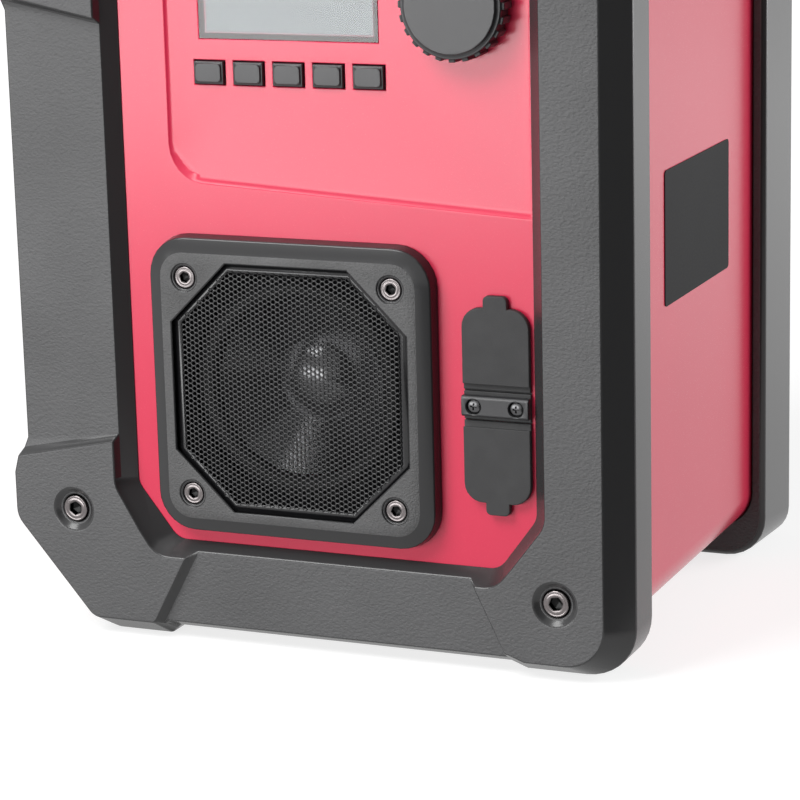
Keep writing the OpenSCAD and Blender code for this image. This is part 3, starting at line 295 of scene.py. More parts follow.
finishLooks = {
    # the sloping sides' colour is painted shade, darker than the face's colour
    "frame_plastic": dict(name="grainedCharcoal", colour=(0.088, 0.088, 0.090), rough=0.52, roughSpread=0.12,
                          grain=0.38, depth=0.22, bump=0.9, stretch=(0.72, 0.72, 1.0), cells=0.75,
                          patch=38, spread=0.18, gloss=0.40,
                          sideShadeColour=(0.035, 0.035, 0.036), smoothRough=0.26),
    "bezel_grain": dict(name="sandedCharcoal", colour=(0.084, 0.084, 0.085), rough=0.50, roughSpread=0.14,
                        grain=0.55, depth=0.22, bump=0.95, cells=0.5, patch=30, spread=0.45, gloss=0.40,
                        sideShadeColour=(0.024, 0.024, 0.025), smoothRough=0.24),
    "red_plastic": dict(name="redSatin", colour=(0.680, 0.028, 0.080), rough=0.24, roughSpread=0.07,
                        grain=0.30, depth=0.03, bump=0.25, patch=60, spread=0.03, gloss=0.5),
    "soft_grip": dict(name="softGripRubber", colour=(0.045, 0.045, 0.048), rough=0.70, roughSpread=0.10,
                      grain=0.35, depth=0.05, bump=0.4, patch=20, spread=0.08, gloss=0.35, ribs=3.2),
    "cover_rubber": dict(name="coverRubber", colour=(0.040, 0.040, 0.041), rough=0.66, roughSpread=0.12,
                         grain=0.34, depth=0.07, bump=0.6, patch=7, spread=0.16, gloss=0.35),
    "seal_rubber": dict(name="sealRubber", colour=(0.020, 0.020, 0.021), rough=0.62, roughSpread=0.10,
                        grain=0.25, depth=0.03, bump=0.3, patch=12, spread=0.10, gloss=0.4),
    "grille_steel": dict(name="grilleEnamel", colour=(0.010, 0.010, 0.011), rough=0.19, roughSpread=0.08,
                         grain=0.40, depth=0.012, bump=0.25, patch=9, spread=0.15, gloss=0.5),
    "black_plastic": dict(name="blackMoulding", colour=(0.026, 0.026, 0.028), rough=0.38, roughSpread=0.10,
                          grain=0.35, depth=0.02, bump=0.25, patch=14, spread=0.10, gloss=0.5),
    "grille_cloth": dict(name="feltBacking", colour=(0.012, 0.012, 0.013), rough=0.92, roughSpread=0.06,
                         grain=0.22, depth=0.10, bump=0.7, patch=7, spread=0.2, gloss=0.1),
    "black_screw": dict(name="blackenedScrew", colour=(0.090, 0.090, 0.092), rough=0.24, roughSpread=0.10,
                        grain=0.20, depth=0.01, bump=0.2, patch=4, spread=0.15, metal=1.0),
    "screw_steel": dict(name="screwSteel", colour=(0.165, 0.150, 0.150), rough=0.22, roughSpread=0.10,
                        grain=0.16, depth=0.015, bump=0.25, patch=3, spread=0.12, metal=1.0, turned=0.16),
    "aerial_chrome": dict(name="aerialChrome", colour=(0.66, 0.66, 0.67), rough=0.10, roughSpread=0.05,
                          grain=0.30, depth=0.006, bump=0.15, stretch=(0.1, 1.0, 1.0), patch=12,
                          spread=0.03, metal=1.0),
    "cone_paper": dict(name="coneFibre", colour=(0.170, 0.170, 0.175), rough=0.20, roughSpread=0.08,
                       grain=0.45, depth=0.02, bump=0.25, patch=6, spread=0.2, metal=0.9),
    "cap_plastic": dict(name="capGloss", colour=(0.190, 0.190, 0.195), rough=0.17, roughSpread=0.05,
                        grain=0.50, depth=0.01, bump=0.15, patch=7, spread=0.1, metal=0.9),
    "spider_cloth": dict(name="spiderCloth", colour=(0.52, 0.40, 0.18), rough=0.86, roughSpread=0.08,
                         grain=0.30, depth=0.12, bump=0.7, patch=8, spread=0.12, gloss=0.2, weave=0.5),
    "ferrite": dict(name="ferriteGrey", colour=(0.055, 0.055, 0.058), rough=0.58, roughSpread=0.14,
                    grain=0.50, depth=0.05, bump=0.4, patch=5, spread=0.15),
    "copper_winding": dict(name="copperWinding", colour=(0.72, 0.30, 0.13), rough=0.30, roughSpread=0.08,
                           grain=0.25, depth=0.02, bump=0.3, stretch=(0.2, 2.0, 0.2), patch=3, spread=0.1,
                           metal=1.0),
    "window_clear": dict(name="smokedWindow", colour=(0.50, 0.53, 0.56), rough=0.05, roughSpread=0.02,
                         grain=0.80, depth=0.001, bump=0.05, patch=20, spread=0.03, clear=1.0),
    "lcd_glass": dict(name="displayGlass", colour=(0.155, 0.185, 0.150), rough=0.22, roughSpread=0.05,
                      grain=0.30, depth=0.004, bump=0.1, patch=14, spread=0.08),
    "board_green": dict(name="boardGreen", colour=(0.020, 0.115, 0.050), rough=0.36, roughSpread=0.10,
                        grain=0.60, depth=0.03, bump=0.3, patch=5, spread=0.22, weave=0.9),
    "sink_aluminium": dict(name="sinkAluminium", colour=(0.60, 0.61, 0.62), rough=0.36, roughSpread=0.12,
                           grain=0.30, depth=0.02, bump=0.3, stretch=(1.0, 1.0, 0.08), patch=9,
                           spread=0.06, metal=1.0),
    "contact_brass": dict(name="contactBrass", colour=(0.72, 0.53, 0.22), rough=0.26, roughSpread=0.08,
                          grain=0.20, depth=0.01, bump=0.2, patch=3, spread=0.1, metal=1.0),
    "label_film": dict(name="labelFilm", colour=(0.010, 0.010, 0.011), rough=0.62, roughSpread=0.08,
                       grain=0.70, depth=0.01, bump=0.15, patch=18, spread=0.15, gloss=0.08),
}


finishMix = {
    "noiseSpan": (0.3, 0.7),     # the part of a noise that is used
    "noiseDetail": 3.0,
    "grainRoughness": 0.6,
    "shadeShares": (0.6, 0.4),   # soft patches, grain
    "wrinkleShares": (0.9, 0.7), # wrinkles, grain
    "wrinkleWarp": 0.6,          # how tightly the wrinkles bend
    "ribShare": 3.0,
    "ringShares": (1.5, 0.4),    # lathe rings, grain
    "ringDetail": 2.0,
    # the colour of the painted shade deep in the screw sockets
    "socketShadeColour": 0.012,
}


def makeFinish(look):
    material = bpy.data.materials.new(look["name"])
    material.use_nodes = True
    tree = material.node_tree
    shader = tree.nodes["Principled BSDF"]
    shader.inputs["Metallic"].default_value = look.get("metal", 0.0)
    shader.inputs["Specular IOR Level"].default_value = look.get("gloss", 0.5)
    shader.inputs["Transmission Weight"].default_value = look.get("clear", 0.0)

    def attribute(name):
        return addNode(tree, "ShaderNodeAttribute", attribute_name=name).outputs["Fac"]

    def mixColour(share, first, second):
        return addNode(tree, "ShaderNodeMix", {0: share, 6: first, 7: second}, data_type="RGBA").outputs[2]

    def wave(distance, length):
        return mathNode(tree, "SINE", times(tree, distance, 2 * math.pi / (length * mm)))

    def sumOf(first, second, shares):
        return plus(tree, times(tree, first, shares[0]), times(tree, second, shares[1]))

    place = addNode(tree, "ShaderNodeTexCoord").outputs["Object"]
    along = addNode(tree, "ShaderNodeMapping", {
        "Vector": place, "Scale": look.get("stretch", (1, 1, 1))}).outputs[0]
    patch = addNode(tree, "ShaderNodeTexNoise", {
        "Vector": place, "Scale": 1 / (look["patch"] * mm), "Detail": finishMix["noiseDetail"]}).outputs[0]
    grain = addNode(tree, "ShaderNodeTexNoise", {
        "Vector": along, "Scale": 1 / (look["grain"] * mm), "Detail": finishMix["noiseDetail"],
        "Roughness": finishMix["grainRoughness"]}).outputs[0]

    height = grain
    if "cells" in look:  # leather-like wrinkles pressed by the mould
        cell = look["cells"] * mm
        warp = addNode(tree, "ShaderNodeTexNoise", {
            "Vector": along, "Scale": finishMix["wrinkleWarp"] / cell}).outputs["Color"]
        bent = addNode(tree, "ShaderNodeVectorMath", {0: warp, "Scale": cell}, operation="SCALE").outputs[0]
        path = addNode(tree, "ShaderNodeVectorMath", {0: along, 1: bent}, operation="ADD").outputs[0]
        wrinkle = addNode(tree, "ShaderNodeTexVoronoi", {"Vector": path, "Scale": 1 / cell},
                          feature="SMOOTH_F1").outputs[0]
        height = sumOf(wrinkle, grain, finishMix["wrinkleShares"])
    if "ribs" in look:  # soft ribs across the grip
        across = addNode(tree, "ShaderNodeSeparateXYZ", {0: place}).outputs[0]
        height = plus(tree, times(tree, wave(across, look["ribs"]), finishMix["ribShare"]), grain)
    if "weave" in look:  # cloth or glass cloth: threads both ways
        parts = addNode(tree, "ShaderNodeSeparateXYZ", {0: place}).outputs
        threads = times(tree, wave(parts[0], look["weave"]), wave(parts[2], look["weave"]))
        height = plus(tree, threads, grain)
    if "turned" in look:  # fine rings left by the lathe, counted out from each screw's own middle
        rings = addNode(tree, "ShaderNodeTexNoise", {
            "W": times(tree, attribute("ringRadius"), 1 / (look["turned"] * mm)), "Scale": 1.0,
            "Detail": finishMix["ringDetail"]}, noise_dimensions="1D").outputs[0]
        height = sumOf(rings, grain, finishMix["ringShares"])

    low, high = finishMix["noiseSpan"]
    darker = [c * (1 - look["spread"]) for c in look["colour"]] + [1]
    lighter = [c * (1 + look["spread"]) for c in look["colour"]] + [1]
    shade = addNode(tree, "ShaderNodeMapRange", {
        0: sumOf(patch, grain, finishMix["shadeShares"]), 1: low, 2: high}).outputs[0]
    tint = mixColour(shade, darker, lighter)
    spread = look["roughSpread"] / 2
    rub = addNode(tree, "ShaderNodeMapRange", {
        0: grain, 1: low, 2: high, 3: look["rough"] - spread, 4: look["rough"] + spread}).outputs[0]
    strength = look["bump"]
    if "turned" in look:  # painted shade darkens the key's socket
        tint = mixColour(attribute("socketPaintedShade"), tint, [finishMix["socketShadeColour"]] * 3 + [1])
    if "sideShadeColour" in look:  # sloping sides are smoother, and painted shade darkens their colour
        smooth = attribute("smoothShadedSide")
        tint = mixColour(smooth, tint, list(look["sideShadeColour"]) + [1])
        rub = addNode(tree, "ShaderNodeMix", {0: smooth, 2: rub, 3: look["smoothRough"]}).outputs[0]
        strength = times(tree, mathNode(tree, "SUBTRACT", 1.0, smooth), look["bump"])
    tree.links.new(tint, shader.inputs["Base Color"])
    tree.links.new(rub, shader.inputs["Roughness"])
    bump = addNode(tree, "ShaderNodeBump", {
        "Height": height, "Strength": strength, "Distance": look["depth"] * mm})
    tree.links.new(bump.outputs[0], shader.inputs["Normal"])
    material.diffuse_color = list(look["colour"]) + [1]
    return material


finishes = {slot: makeFinish(look) for slot, look in finishLooks.items()}
print("finishes made:", len(finishes))


# moulded pieces: the solid's own shape with its edges broken

mouldedPieces = {  # solid: (piece, broken edge in mm, steps)
    "front_frame": ("frontBumperFrame", 0.55, 3),
    "rear_frame": ("rearBumperFrame", 0.55, 3),
    "main_housing": ("redHousing", 0.4, 2),
    "front_panel": ("redFrontPanel", 0.35, 2),
    "speaker_bezel": ("speakerBezel", 0.45, 3),
    "rear_panel": ("rearPanel", 0.4, 2),
    "battery_door": ("batteryDoor", 0.6, 3),
    "port_strap": ("portStrap", 0.25, 2),
    "aux_flap": ("upperPortFlap", 0.35, 2),
    "dc_flap": ("lowerPortFlap", 0.35, 2),
    "clamp_strip": ("portClampStrip", 0.22, 2),
    "volume_knob": ("volumeKnob", 0.35, 2),
    "power_key": ("powerKey", 0.3, 2),
    "mode_key": ("modeKey", 0.3, 2),
    "down_key": ("downKey", 0.3, 2),
    "up_key": ("upKey", 0.3, 2),
    "preset_key": ("presetKey", 0.3, 2),
    "carry_handle": ("carryHandle", 0.6, 3),
    "handle_grip": ("handleGrip", 0.8, 3),
    "handle_bolts": ("handleBolts", 0.4, 2),
    "antenna_bracket": ("aerialBracket", 0.3, 2),
    "antenna_arm": ("aerialLowerTube", 0.2, 2),
    "antenna_stage": ("aerialMiddleTube", 0.2, 2),
    "antenna_tip": ("aerialTip", 0.5, 3),
}


moulding = {
    "merge": 0.005,          # corners closer than this in mm are one
    "flatAngle": 0.6,        # degrees under which two faces are one flat
    "rimAngle": 24,          # an outer edge sharper than this is broken
    "shadeAngle": 55,
    "flatness": 0.003,       # how far in mm a corner may lie off a flat
    "smallestFlat": 0.5e-6,  # in square metres
    "facing": 0.97,          # a face that looks less straight along Y than this is a smooth side with painted shade
    "web": (0.4, 0.1, 0.2),  # a hinge web's reach past the strap and into it, and its thickness, in mm
    "ownFinish": {"speaker_bezel": "bezel_grain"},
}


def mergedSolid(nodeName):
    bm = bmesh.new()
    bm.from_mesh(cadNodes[nodeName].data)
    bmesh.ops.remove_doubles(bm, verts=bm.verts, dist=moulding["merge"] * mm)
    bmesh.ops.dissolve_degenerate(bm, edges=bm.edges, dist=moulding["merge"] * mm)
    return bm


def flatGroups(bm):
    # faces that touch and lie in one plane, from the largest face down
    flatness = moulding["flatness"] * mm
    done = set()
    for first in sorted(bm.faces, key=lambda f: -f.calc_area()):
        if first in done:
            continue
        if first.calc_area() < moulding["smallestFlat"]:
            return
        normal, spot = first.normal.copy(), first.verts[0].co.copy()
        group, grow = {first}, [first]
        done.add(first)
        while grow:
            for edge in grow.pop().edges:
                for other in edge.link_faces:
                    if other in done:
                        continue
                    if all(abs((v.co - spot).dot(normal)) < flatness for v in other.verts):
                        done.add(other)
                        group.add(other)
                        grow.append(other)
        if len(group) > 1 or len(first.verts) > 4:
            yield normal, spot, group


def insideTriangles(points, triangles, starts, ends):
    # the triangles whose middle lies inside the closed outlines, by counting crossings
    kept = []
    for triangle in triangles:
        middle = sum((points[i] for i in triangle), Vector((0, 0))) / 3
        crosses = (starts[:, 1] > middle.y) != (ends[:, 1] > middle.y)
        a, b = starts[crosses], ends[crosses]
        reach = a[:, 0] + (middle.y - a[:, 1]) / (b[:, 1] - a[:, 1]) * (b[:, 0] - a[:, 0])
        if (reach > middle.x).sum() % 2:
            kept.append(triangle)
    return kept


def refillFlats(bm):
    # a bevel leaves flats with holes as folded faces, so each flat is filled again from its outlines
    plans, doomed = [], []
    for normal, spot, group in flatGroups(bm):
        edges = [e for f in group for e in f.edges if sum(1 for g in e.link_faces if g in group) == 1]
        verts = list({v for e in edges for v in e.verts})
        index = {v: i for i, v in enumerate(verts)}
        side = normal.orthogonal().normalized()
        up = normal.cross(side)
        flat = [Vector(((v.co - spot).dot(side) / mm, (v.co - spot).dot(up) / mm)) for v in verts]
        pairs = [(index[e.verts[0]], index[e.verts[1]]) for e in edges]
        filled = geometry.delaunay_2d_cdt(flat, pairs, [], 1, 1e-5)
        points, triangles, origins = filled[0], filled[2], filled[3]
        if not triangles:
            continue
        starts = numpy.array([flat[i] for i, j in pairs])
        ends = numpy.array([flat[j] for i, j in pairs])
        kept = insideTriangles(points, triangles, starts, ends)
        known = [verts[o[0]] if o else None for o in origins]
        plans.append((normal, spot, side, up, known, points, kept))
        doomed += group
    bmesh.ops.delete(bm, geom=doomed, context="FACES_ONLY")
    for normal, spot, side, up, known, points, triangles in plans:
        corners = [vert or bm.verts.new(spot + side * (p.x * mm) + up * (p.y * mm))
                   for vert, p in zip(known, points)]
        for triangle in triangles:
            picked = [corners[i] for i in triangle]
            if len(set(picked)) < 3 or bm.faces.get(picked):
                continue
            face = bm.faces.new(picked)
            face.normal_update()
            if face.normal.dot(normal) < 0:
                face.normal_flip()
    bmesh.ops.delete(bm, geom=[e for e in bm.edges if not e.link_faces], context="EDGES")


def addBlock(bm, low, high):
    # a block between two corners; bit n of a corner's number picks the low or high end of axis n
    corners = [bm.verts.new([(low, high)[bits >> axis & 1][axis] for axis in range(3)]) for bits in range(8)]
    for loop in ((0, 2, 3, 1), (4, 5, 7, 6), (0, 1, 5, 4), (2, 6, 7, 3), (0, 4, 6, 2), (1, 3, 7, 5)):
        bm.faces.new([corners[i] for i in loop])


def hingeWebs(bm):
    # thin rubber that closes the two slits between the strap and the hinges of its flaps
    low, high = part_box("port_strap")
    past, into, thick = (size * mm for size in moulding["web"])
    for bottom, top in ((low.z - past, low.z + into), (high.z - into, high.z + past)):
        addBlock(bm, (low.x, high.y - thick, bottom), (high.x, high.y, top))


def mouldedPiece(nodeName, pieceName, edge, steps):
    bm = mergedSolid(nodeName)
    bmesh.ops.dissolve_limit(bm, angle_limit=math.radians(moulding["flatAngle"]), verts=bm.verts,
                             edges=bm.edges)
    rims = [e for e in bm.edges if len(e.link_faces) == 2 and e.is_convex
            and e.calc_face_angle(0) > math.radians(moulding["rimAngle"])]
    bmesh.ops.bevel(bm, geom=rims, offset=edge * mm, offset_type="OFFSET", segments=steps, profile=0.5,
                    affect="EDGES", clamp_overlap=False, loop_slide=False, miter_outer="ARC")
    refillFlats(bm)
    bmesh.ops.triangulate(bm, faces=[f for f in bm.faces if len(f.verts) > 4])
    if nodeName == "port_strap":
        hingeWebs(bm)
    # faces that don't look along Y get a smoother finish and painted shade
    smoothShadedSide = bm.faces.layers.float.new("smoothShadedSide")
    for face in bm.faces:
        face.normal_update()
        face[smoothShadedSide] = 1.0 if abs(face.normal.y) < moulding["facing"] else 0.0
    obj = addObject(pieceName, shadedMesh(bm, pieceName, moulding["shadeAngle"]))
    settlePiece(obj, finishes[moulding["ownFinish"].get(nodeName, slotOf[nodeName])], nodeName)
    even = obj.modifiers.new("evenShading", "WEIGHTED_NORMAL")
    even.keep_sharp = True


for nodeName, (pieceName, edge, steps) in mouldedPieces.items():
    mouldedPiece(nodeName, pieceName, edge, steps)
print("moulded pieces:", len(mouldedPieces))


# perforated grille

grille = {
    "pitch": 1.64,       # from hole to hole
    "hole": 1.22,
    "sheet": 0.7,
    "lip": 0.12,         # how deep each hole's edge is broken
    "merge": 0.03,
    "across": 82.6,      # across the flats of the whole sheet
    "cut": 19.4,         # how much of each side the octagon's corners take
    "margin": 3.75,      # from the sheet's edge to the middles of the first holes
    "rollWidth": 5.0,    # the sheet's edge rolls back towards the panel
    "rollDrop": 0.35,
    "border": [(0.0, 1.4), (1.2, 1.3), (2.2, 0.7), (3.0, 0.25), (4.1, 0.22),  # in from the edge, depth
               (4.1, 0.7), (2.9, 1.0), (1.6, 2.0), (0.9, 2.2)],
    "rimWidth": 0.9,
}


def holeTile():
    # one hexagonal cell round one hole, its front towards -Y
    bm = bmesh.new()
    outer = grille["pitch"] / math.sqrt(3) * mm
    inner = grille["hole"] / 2 * mm
    lip, sheet = grille["lip"], grille["sheet"]
    levels = [(0.0, outer, 6), (lip, inner, 12), (sheet - lip, inner, 12), (sheet, outer, 6)]
    rings = []
    for depth, radius, count in levels:
        shift = 0 if count == 6 else math.pi / 12
        angles = [2 * math.pi * i / count + shift for i in range(count)]
        rings.append([bm.verts.new((radius * math.cos(a), depth * mm, radius * math.sin(a))) for a in angles])
    for hexRing, holeRing in ((rings[0], rings[1]), (rings[3], rings[2])):
        for i in range(6):
            bm.faces.new((hexRing[i], holeRing[2 * i], holeRing[2 * i + 1], hexRing[(i + 1) % 6]))
            bm.faces.new((hexRing[i], holeRing[2 * i - 1], holeRing[2 * i]))
    for i in range(12):
        bm.faces.new((rings[1][i], rings[1][i - 1], rings[2][i - 1], rings[2][i]))
    for face in bm.faces:  # out at the front and back, and in towards the hole between its lips
        middle = face.calc_center_median()
        if lip * mm < middle.y < (sheet - lip) * mm:
            side = Vector((-middle.x, 0, -middle.z)).normalized()
        else:
            side = Vector((0, -1 if middle.y < sheet / 2 * mm else 1, 0))
        face.normal_update()
        if face.normal.dot(side) < 0:
            face.normal_flip()
    return addObject("holeTile", meshFrom(bm, "holeTile"))


def grilleTree():
    tree, given, result = newTree("perforatedGrille", [
        ("Tile", "Object"), ("Columns", "Int"), ("Rows", "Int"), ("Pitch", "Float"), ("Across", "Float"),
        ("Cut", "Float"), ("Margin", "Float"), ("Centre", "Vector"), ("Roll Width", "Float"),
        ("Roll Drop", "Float"), ("Finish", "Material")])

    def less(a, b):
        return mathNode(tree, "SUBTRACT", a, b)

    def position():
        place = addNode(tree, "GeometryNodeInputPosition").outputs[0]
        return addNode(tree, "ShaderNodeSeparateXYZ", {0: place}).outputs

    columnPitch = times(tree, given["Pitch"], math.sqrt(3) / 2)
    spanX = times(tree, less(given["Columns"], 1.0), columnPitch)
    spanZ = times(tree, less(given["Rows"], 1.0), given["Pitch"])
    lattice = addNode(tree, "GeometryNodeMeshGrid", {
        "Size X": spanX, "Size Y": spanZ, "Vertices X": given["Columns"],
        "Vertices Y": given["Rows"]}).outputs[0]
    index = addNode(tree, "GeometryNodeInputIndex").outputs[0]
    column = mathNode(tree, "FLOOR", mathNode(tree, "DIVIDE", index, given["Rows"]))
    odd = mathNode(tree, "MODULO", column, 2.0)
    flat = position()
    raised = plus(tree, flat[1], times(tree, odd, times(tree, given["Pitch"], 0.5)))
    upright = addNode(tree, "ShaderNodeCombineXYZ", {0: flat[0], 2: raised}).outputs[0]
    standing = addNode(tree, "GeometryNodeSetPosition", {"Geometry": lattice, "Position": upright}).outputs[0]

    def edgeDistance():
        # how far a point lies inside the octagon's nearest side
        spot = position()
        x, z = mathNode(tree, "ABSOLUTE", spot[0]), mathNode(tree, "ABSOLUTE", spot[2])
        straight = less(times(tree, given["Across"], 0.5), mathNode(tree, "MAXIMUM", x, z))
        reach = less(given["Across"], given["Cut"])
        slanted = mathNode(tree, "DIVIDE", less(reach, plus(tree, x, z)), math.sqrt(2))
        return mathNode(tree, "MINIMUM", straight, slanted)

    outside = addNode(tree, "FunctionNodeCompare", {"A": edgeDistance(), "B": given["Margin"]},
                      operation="LESS_THAN").outputs[0]
    kept = addNode(tree, "GeometryNodeDeleteGeometry", {
        "Geometry": standing, "Selection": outside}).outputs[0]
    tile = addNode(tree, "GeometryNodeObjectInfo", {"Object": given["Tile"]}).outputs["Geometry"]
    tiles = addNode(tree, "GeometryNodeInstanceOnPoints", {"Points": kept, "Instance": tile}).outputs[0]
    plain = addNode(tree, "GeometryNodeRealizeInstances", {"Geometry": tiles}).outputs[0]
    merged = addNode(tree, "GeometryNodeMergeByDistance", {
        "Geometry": plain, "Distance": grille["merge"] * mm}).outputs[0]
    share = mathNode(tree, "DIVIDE", edgeDistance(), given["Roll Width"])
    near = mathNode(tree, "SUBTRACT", 1.0, share, clamp=True)
    drop = times(tree, times(tree, near, near), given["Roll Drop"])
    back = addNode(tree, "ShaderNodeCombineXYZ", {1: drop}).outputs[0]
    rolled = addNode(tree, "GeometryNodeSetPosition", {"Geometry": merged, "Offset": back}).outputs[0]
    whole = addNode(tree, "GeometryNodeJoinGeometry")
    tree.links.new(rolled, whole.inputs[0])
    tree.links.new(given["Geometry"], whole.inputs[0])
    moved = addNode(tree, "GeometryNodeSetPosition", {
        "Geometry": whole.outputs[0], "Offset": given["Centre"]}).outputs[0]
    smooth = addNode(tree, "GeometryNodeSetShadeSmooth", {"Geometry": moved}).outputs[0]
    real = addNode(tree, "GeometryNodeRealizeInstances", {"Geometry": smooth}).outputs[0]
    painted = addNode(tree, "GeometryNodeSetMaterial", {
        "Geometry": real, "Material": given["Finish"]}).outputs[0]
    tree.links.new(painted, result[0])
    return tree


def octagonPoints(across, cut):
    half, c = across / 2, across / 2 - cut
    return [(half, -c), (half, c), (c, half), (-c, half), (-half, c), (-half, -c), (-c, -half), (c, -half)]


def makeGrille():
    low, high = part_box("speaker_grille")
    centre = Vector(((low.x + high.x) / 2, low.y, (low.z + high.z) / 2))
    depth = (high.y - low.y) / mm
    bm = bmesh.new()  # the turned-back rim, in the sheet's own place
    across, cut = grille["across"], grille["cut"]
    profile = [(0.0, depth)] + grille["border"] + [(grille["rimWidth"], depth)]
    rings = []
    for inset, y in profile:
        shrink = inset * (2 - math.sqrt(2))
        points = octagonPoints(across - 2 * inset, cut - shrink)
        rings.append([bm.verts.new((x * mm, y * mm, z * mm)) for x, z in points])
    for a, b in zip(rings, rings[1:] + rings[:1]):
        for i in range(8):
            bm.faces.new((a[i], a[(i + 1) % 8], b[(i + 1) % 8], b[i]))
    bmesh.ops.recalc_face_normals(bm, faces=bm.faces)
    obj = addObject("perforatedGrille", meshFrom(bm, "perforatedGrille"))
    tile = holeTile()
    columns = int(grille["across"] / (grille["pitch"] * math.sqrt(3) / 2)) + 2
    rows = int(grille["across"] / grille["pitch"]) + 2
    applyTree(obj, grilleTree(), {
        "Tile": tile, "Columns": columns, "Rows": rows, "Pitch": grille["pitch"] * mm,
        "Across": grille["across"] * mm, "Cut": grille["cut"] * mm, "Margin": grille["margin"] * mm,
        "Centre": centre, "Roll Width": grille["rollWidth"] * mm, "Roll Drop": grille["rollDrop"] * mm,
        "Finish": finishes["grille_steel"]})
    bpy.data.objects.remove(tile)
    settlePiece(obj, finishes["grille_steel"], "speaker_grille")
    print("grille:", len(obj.data.polygons), "faces")


makeGrille()


# screws, set by one tree at the places of the solids

socketScrews = {  # sizes in mm; the head looks towards -Y or +Y
    "bezel_screws": dict(piece="bezelSocketScrews", head=7.0, height=4.0, shank=4.0, key=3.0, way=-1),
    "front_frame_screws": dict(piece="frontSocketScrews", head=8.5, height=5.0, shank=5.0, key=4.0, way=-1),
    "rear_frame_screws": dict(piece="rearSocketScrews", head=8.5, height=5.0, shank=5.0, key=4.0, way=1),
}
socketShape = {
    "tip": (0.25, 0.62, 1.0),      # the socket's bottom: radius in mm, depth in head heights, how dark its painted shade is
    "floor": (0.5, 1.0),           # depth in head heights, how dark its painted shade is
    "mouth": (0.16, 0.8),          # depth in mm, how dark its painted shade is
    "corner": (1.155, 0.22),       # a hexagon's corner in key halves, and the broken edge round it in mm
    "face": [(1.05, 0.0), (0.95, 0.07), (0.6, 0.07), (0.5, 0.0), (0.32, 0.02), (0.1, 0.14), (0.0, 0.42)],
    "seat": 0.02,
    "point": 0.5,
    "shadeAngle": 50,
}
panScrews = dict(piece="clampPanScrews", head=4.7, height=1.3, shank=2.4, recess=2.6, arm=0.62, depth=0.8,
                 dome=0.62, top=0.001, domeSteps=(0.12, 0.35, 0.6, 0.85, 1.1, 1.3, 1.5), seat=0.02, point=0.3,
                 steps=32, bladeTop=(-0.6, 1.15, 1.1), bladeTip=(0.55, 0.7), shadeAngle=35)
screwSeeds = {"socket": 11, "pan": 5}


def screwPlaces(nodeName):
    # the middle of each separate screw of a solid, from its own corners
    bm = mergedSolid(nodeName)
    left, boxes = set(bm.verts), []
    while left:
        group, grow = set(), [left.pop()]
        while grow:
            vert = grow.pop()
            group.add(vert)
            for e in vert.link_edges:
                other = e.other_vert(vert)
                if other in left:
                    left.discard(other)
                    grow.append(other)
        lows = [min(v.co[i] for v in group) for i in range(3)]
        highs = [max(v.co[i] for v in group) for i in range(3)]
        boxes.append(((lows[0] + highs[0]) / 2, lows[1], highs[1], (lows[2] + highs[2]) / 2))
    bm.free()
    return sorted(boxes)


def lathedRings(bm, levels, count=24):
    # levels: (radius in mm as a number or a function of the angle, depth in mm, how dark its painted shade
    # is, if at all)
    for label in ("ringRadius", "socketPaintedShade"):
        bm.verts.layers.float.new(label)
    # this layer carries the socket's painted shade
    reach, dark = bm.verts.layers.float["ringRadius"], bm.verts.layers.float["socketPaintedShade"]
    rings = []
    for radius, depth, *shade in levels:
        ring = []
        for i in range(count):
            a = 2 * math.pi * i / count
            r = radius(a) if callable(radius) else radius
            vert = bm.verts.new((r * mm * math.cos(a), depth * mm, r * mm * math.sin(a)))
            vert[reach] = r * mm
            vert[dark] = shade[0] if shade else 0.0
            ring.append(vert)
        rings.append(ring)
    for a, b in zip(rings, rings[1:]):
        for i in range(count):
            bm.faces.new((a[i], a[(i + 1) % count], b[(i + 1) % count], b[i]))
    bm.faces.new(rings[0])
    bm.faces.new(list(reversed(rings[-1])))


def socketScrew(size, length):
    # cylinder head with a hexagon socket; its face at y = 0, its shank towards +Y
    half, key, shank, height = size["head"] / 2, size["key"] / 2, size["shank"] / 2, size["height"]
    tipRadius, tipDepth, tipShade = socketShape["tip"]
    floorDepth, floorShade = socketShape["floor"]
    corner, edge = socketShape["corner"]

    def hexagon(a):
        return key / math.cos((a % (math.pi / 3)) - math.pi / 6)

    bm = bmesh.new()
    lathedRings(bm, [
        (tipRadius, height * tipDepth, tipShade), (hexagon, height * floorDepth, floorShade),
        (hexagon, *socketShape["mouth"]), (key * corner + edge, 0.0),
        *[(half - inset, depth) for inset, depth in socketShape["face"]],
        (half, height), (shank, height + socketShape["seat"]),
        (shank, length - socketShape["point"]), (shank - socketShape["point"], length)])
    bmesh.ops.recalc_face_normals(bm, faces=bm.faces)
    return addObject("socketScrew", shadedMesh(bm, "socketScrew", socketShape["shadeAngle"]))


def crossBlades(size):
    # two tapered blades that cross on the screw's axis
    bm = bmesh.new()
    topY, topReach, topThick = size["bladeTop"]
    tipReach, tipThick = size["bladeTip"]
    recess, arm = size["recess"] / 2, size["arm"] / 2
    ends = ((topY, recess * topReach, arm * topThick), (size["depth"], recess * tipReach, arm * tipThick))
    for turn in (0, math.pi / 2):
        corners = []
        for y, reach, thick in ends:
            for u, v in ((-reach, -thick), (reach, -thick), (reach, thick), (-reach, thick)):
                corners.append(bm.verts.new((mm * (u * math.cos(turn) - v * math.sin(turn)), y * mm,
                                             mm * (u * math.sin(turn) + v * math.cos(turn)))))
        for loop in ((0, 1, 2, 3), (4, 5, 6, 7), (0, 1, 5, 4), (1, 2, 6, 5), (2, 3, 7, 6), (3, 0, 4, 7)):
            bm.faces.new([corners[i] for i in loop])
    bmesh.ops.recalc_face_normals(bm, faces=bm.faces)
    return addObject("crossBlades", meshFrom(bm, "crossBlades"))


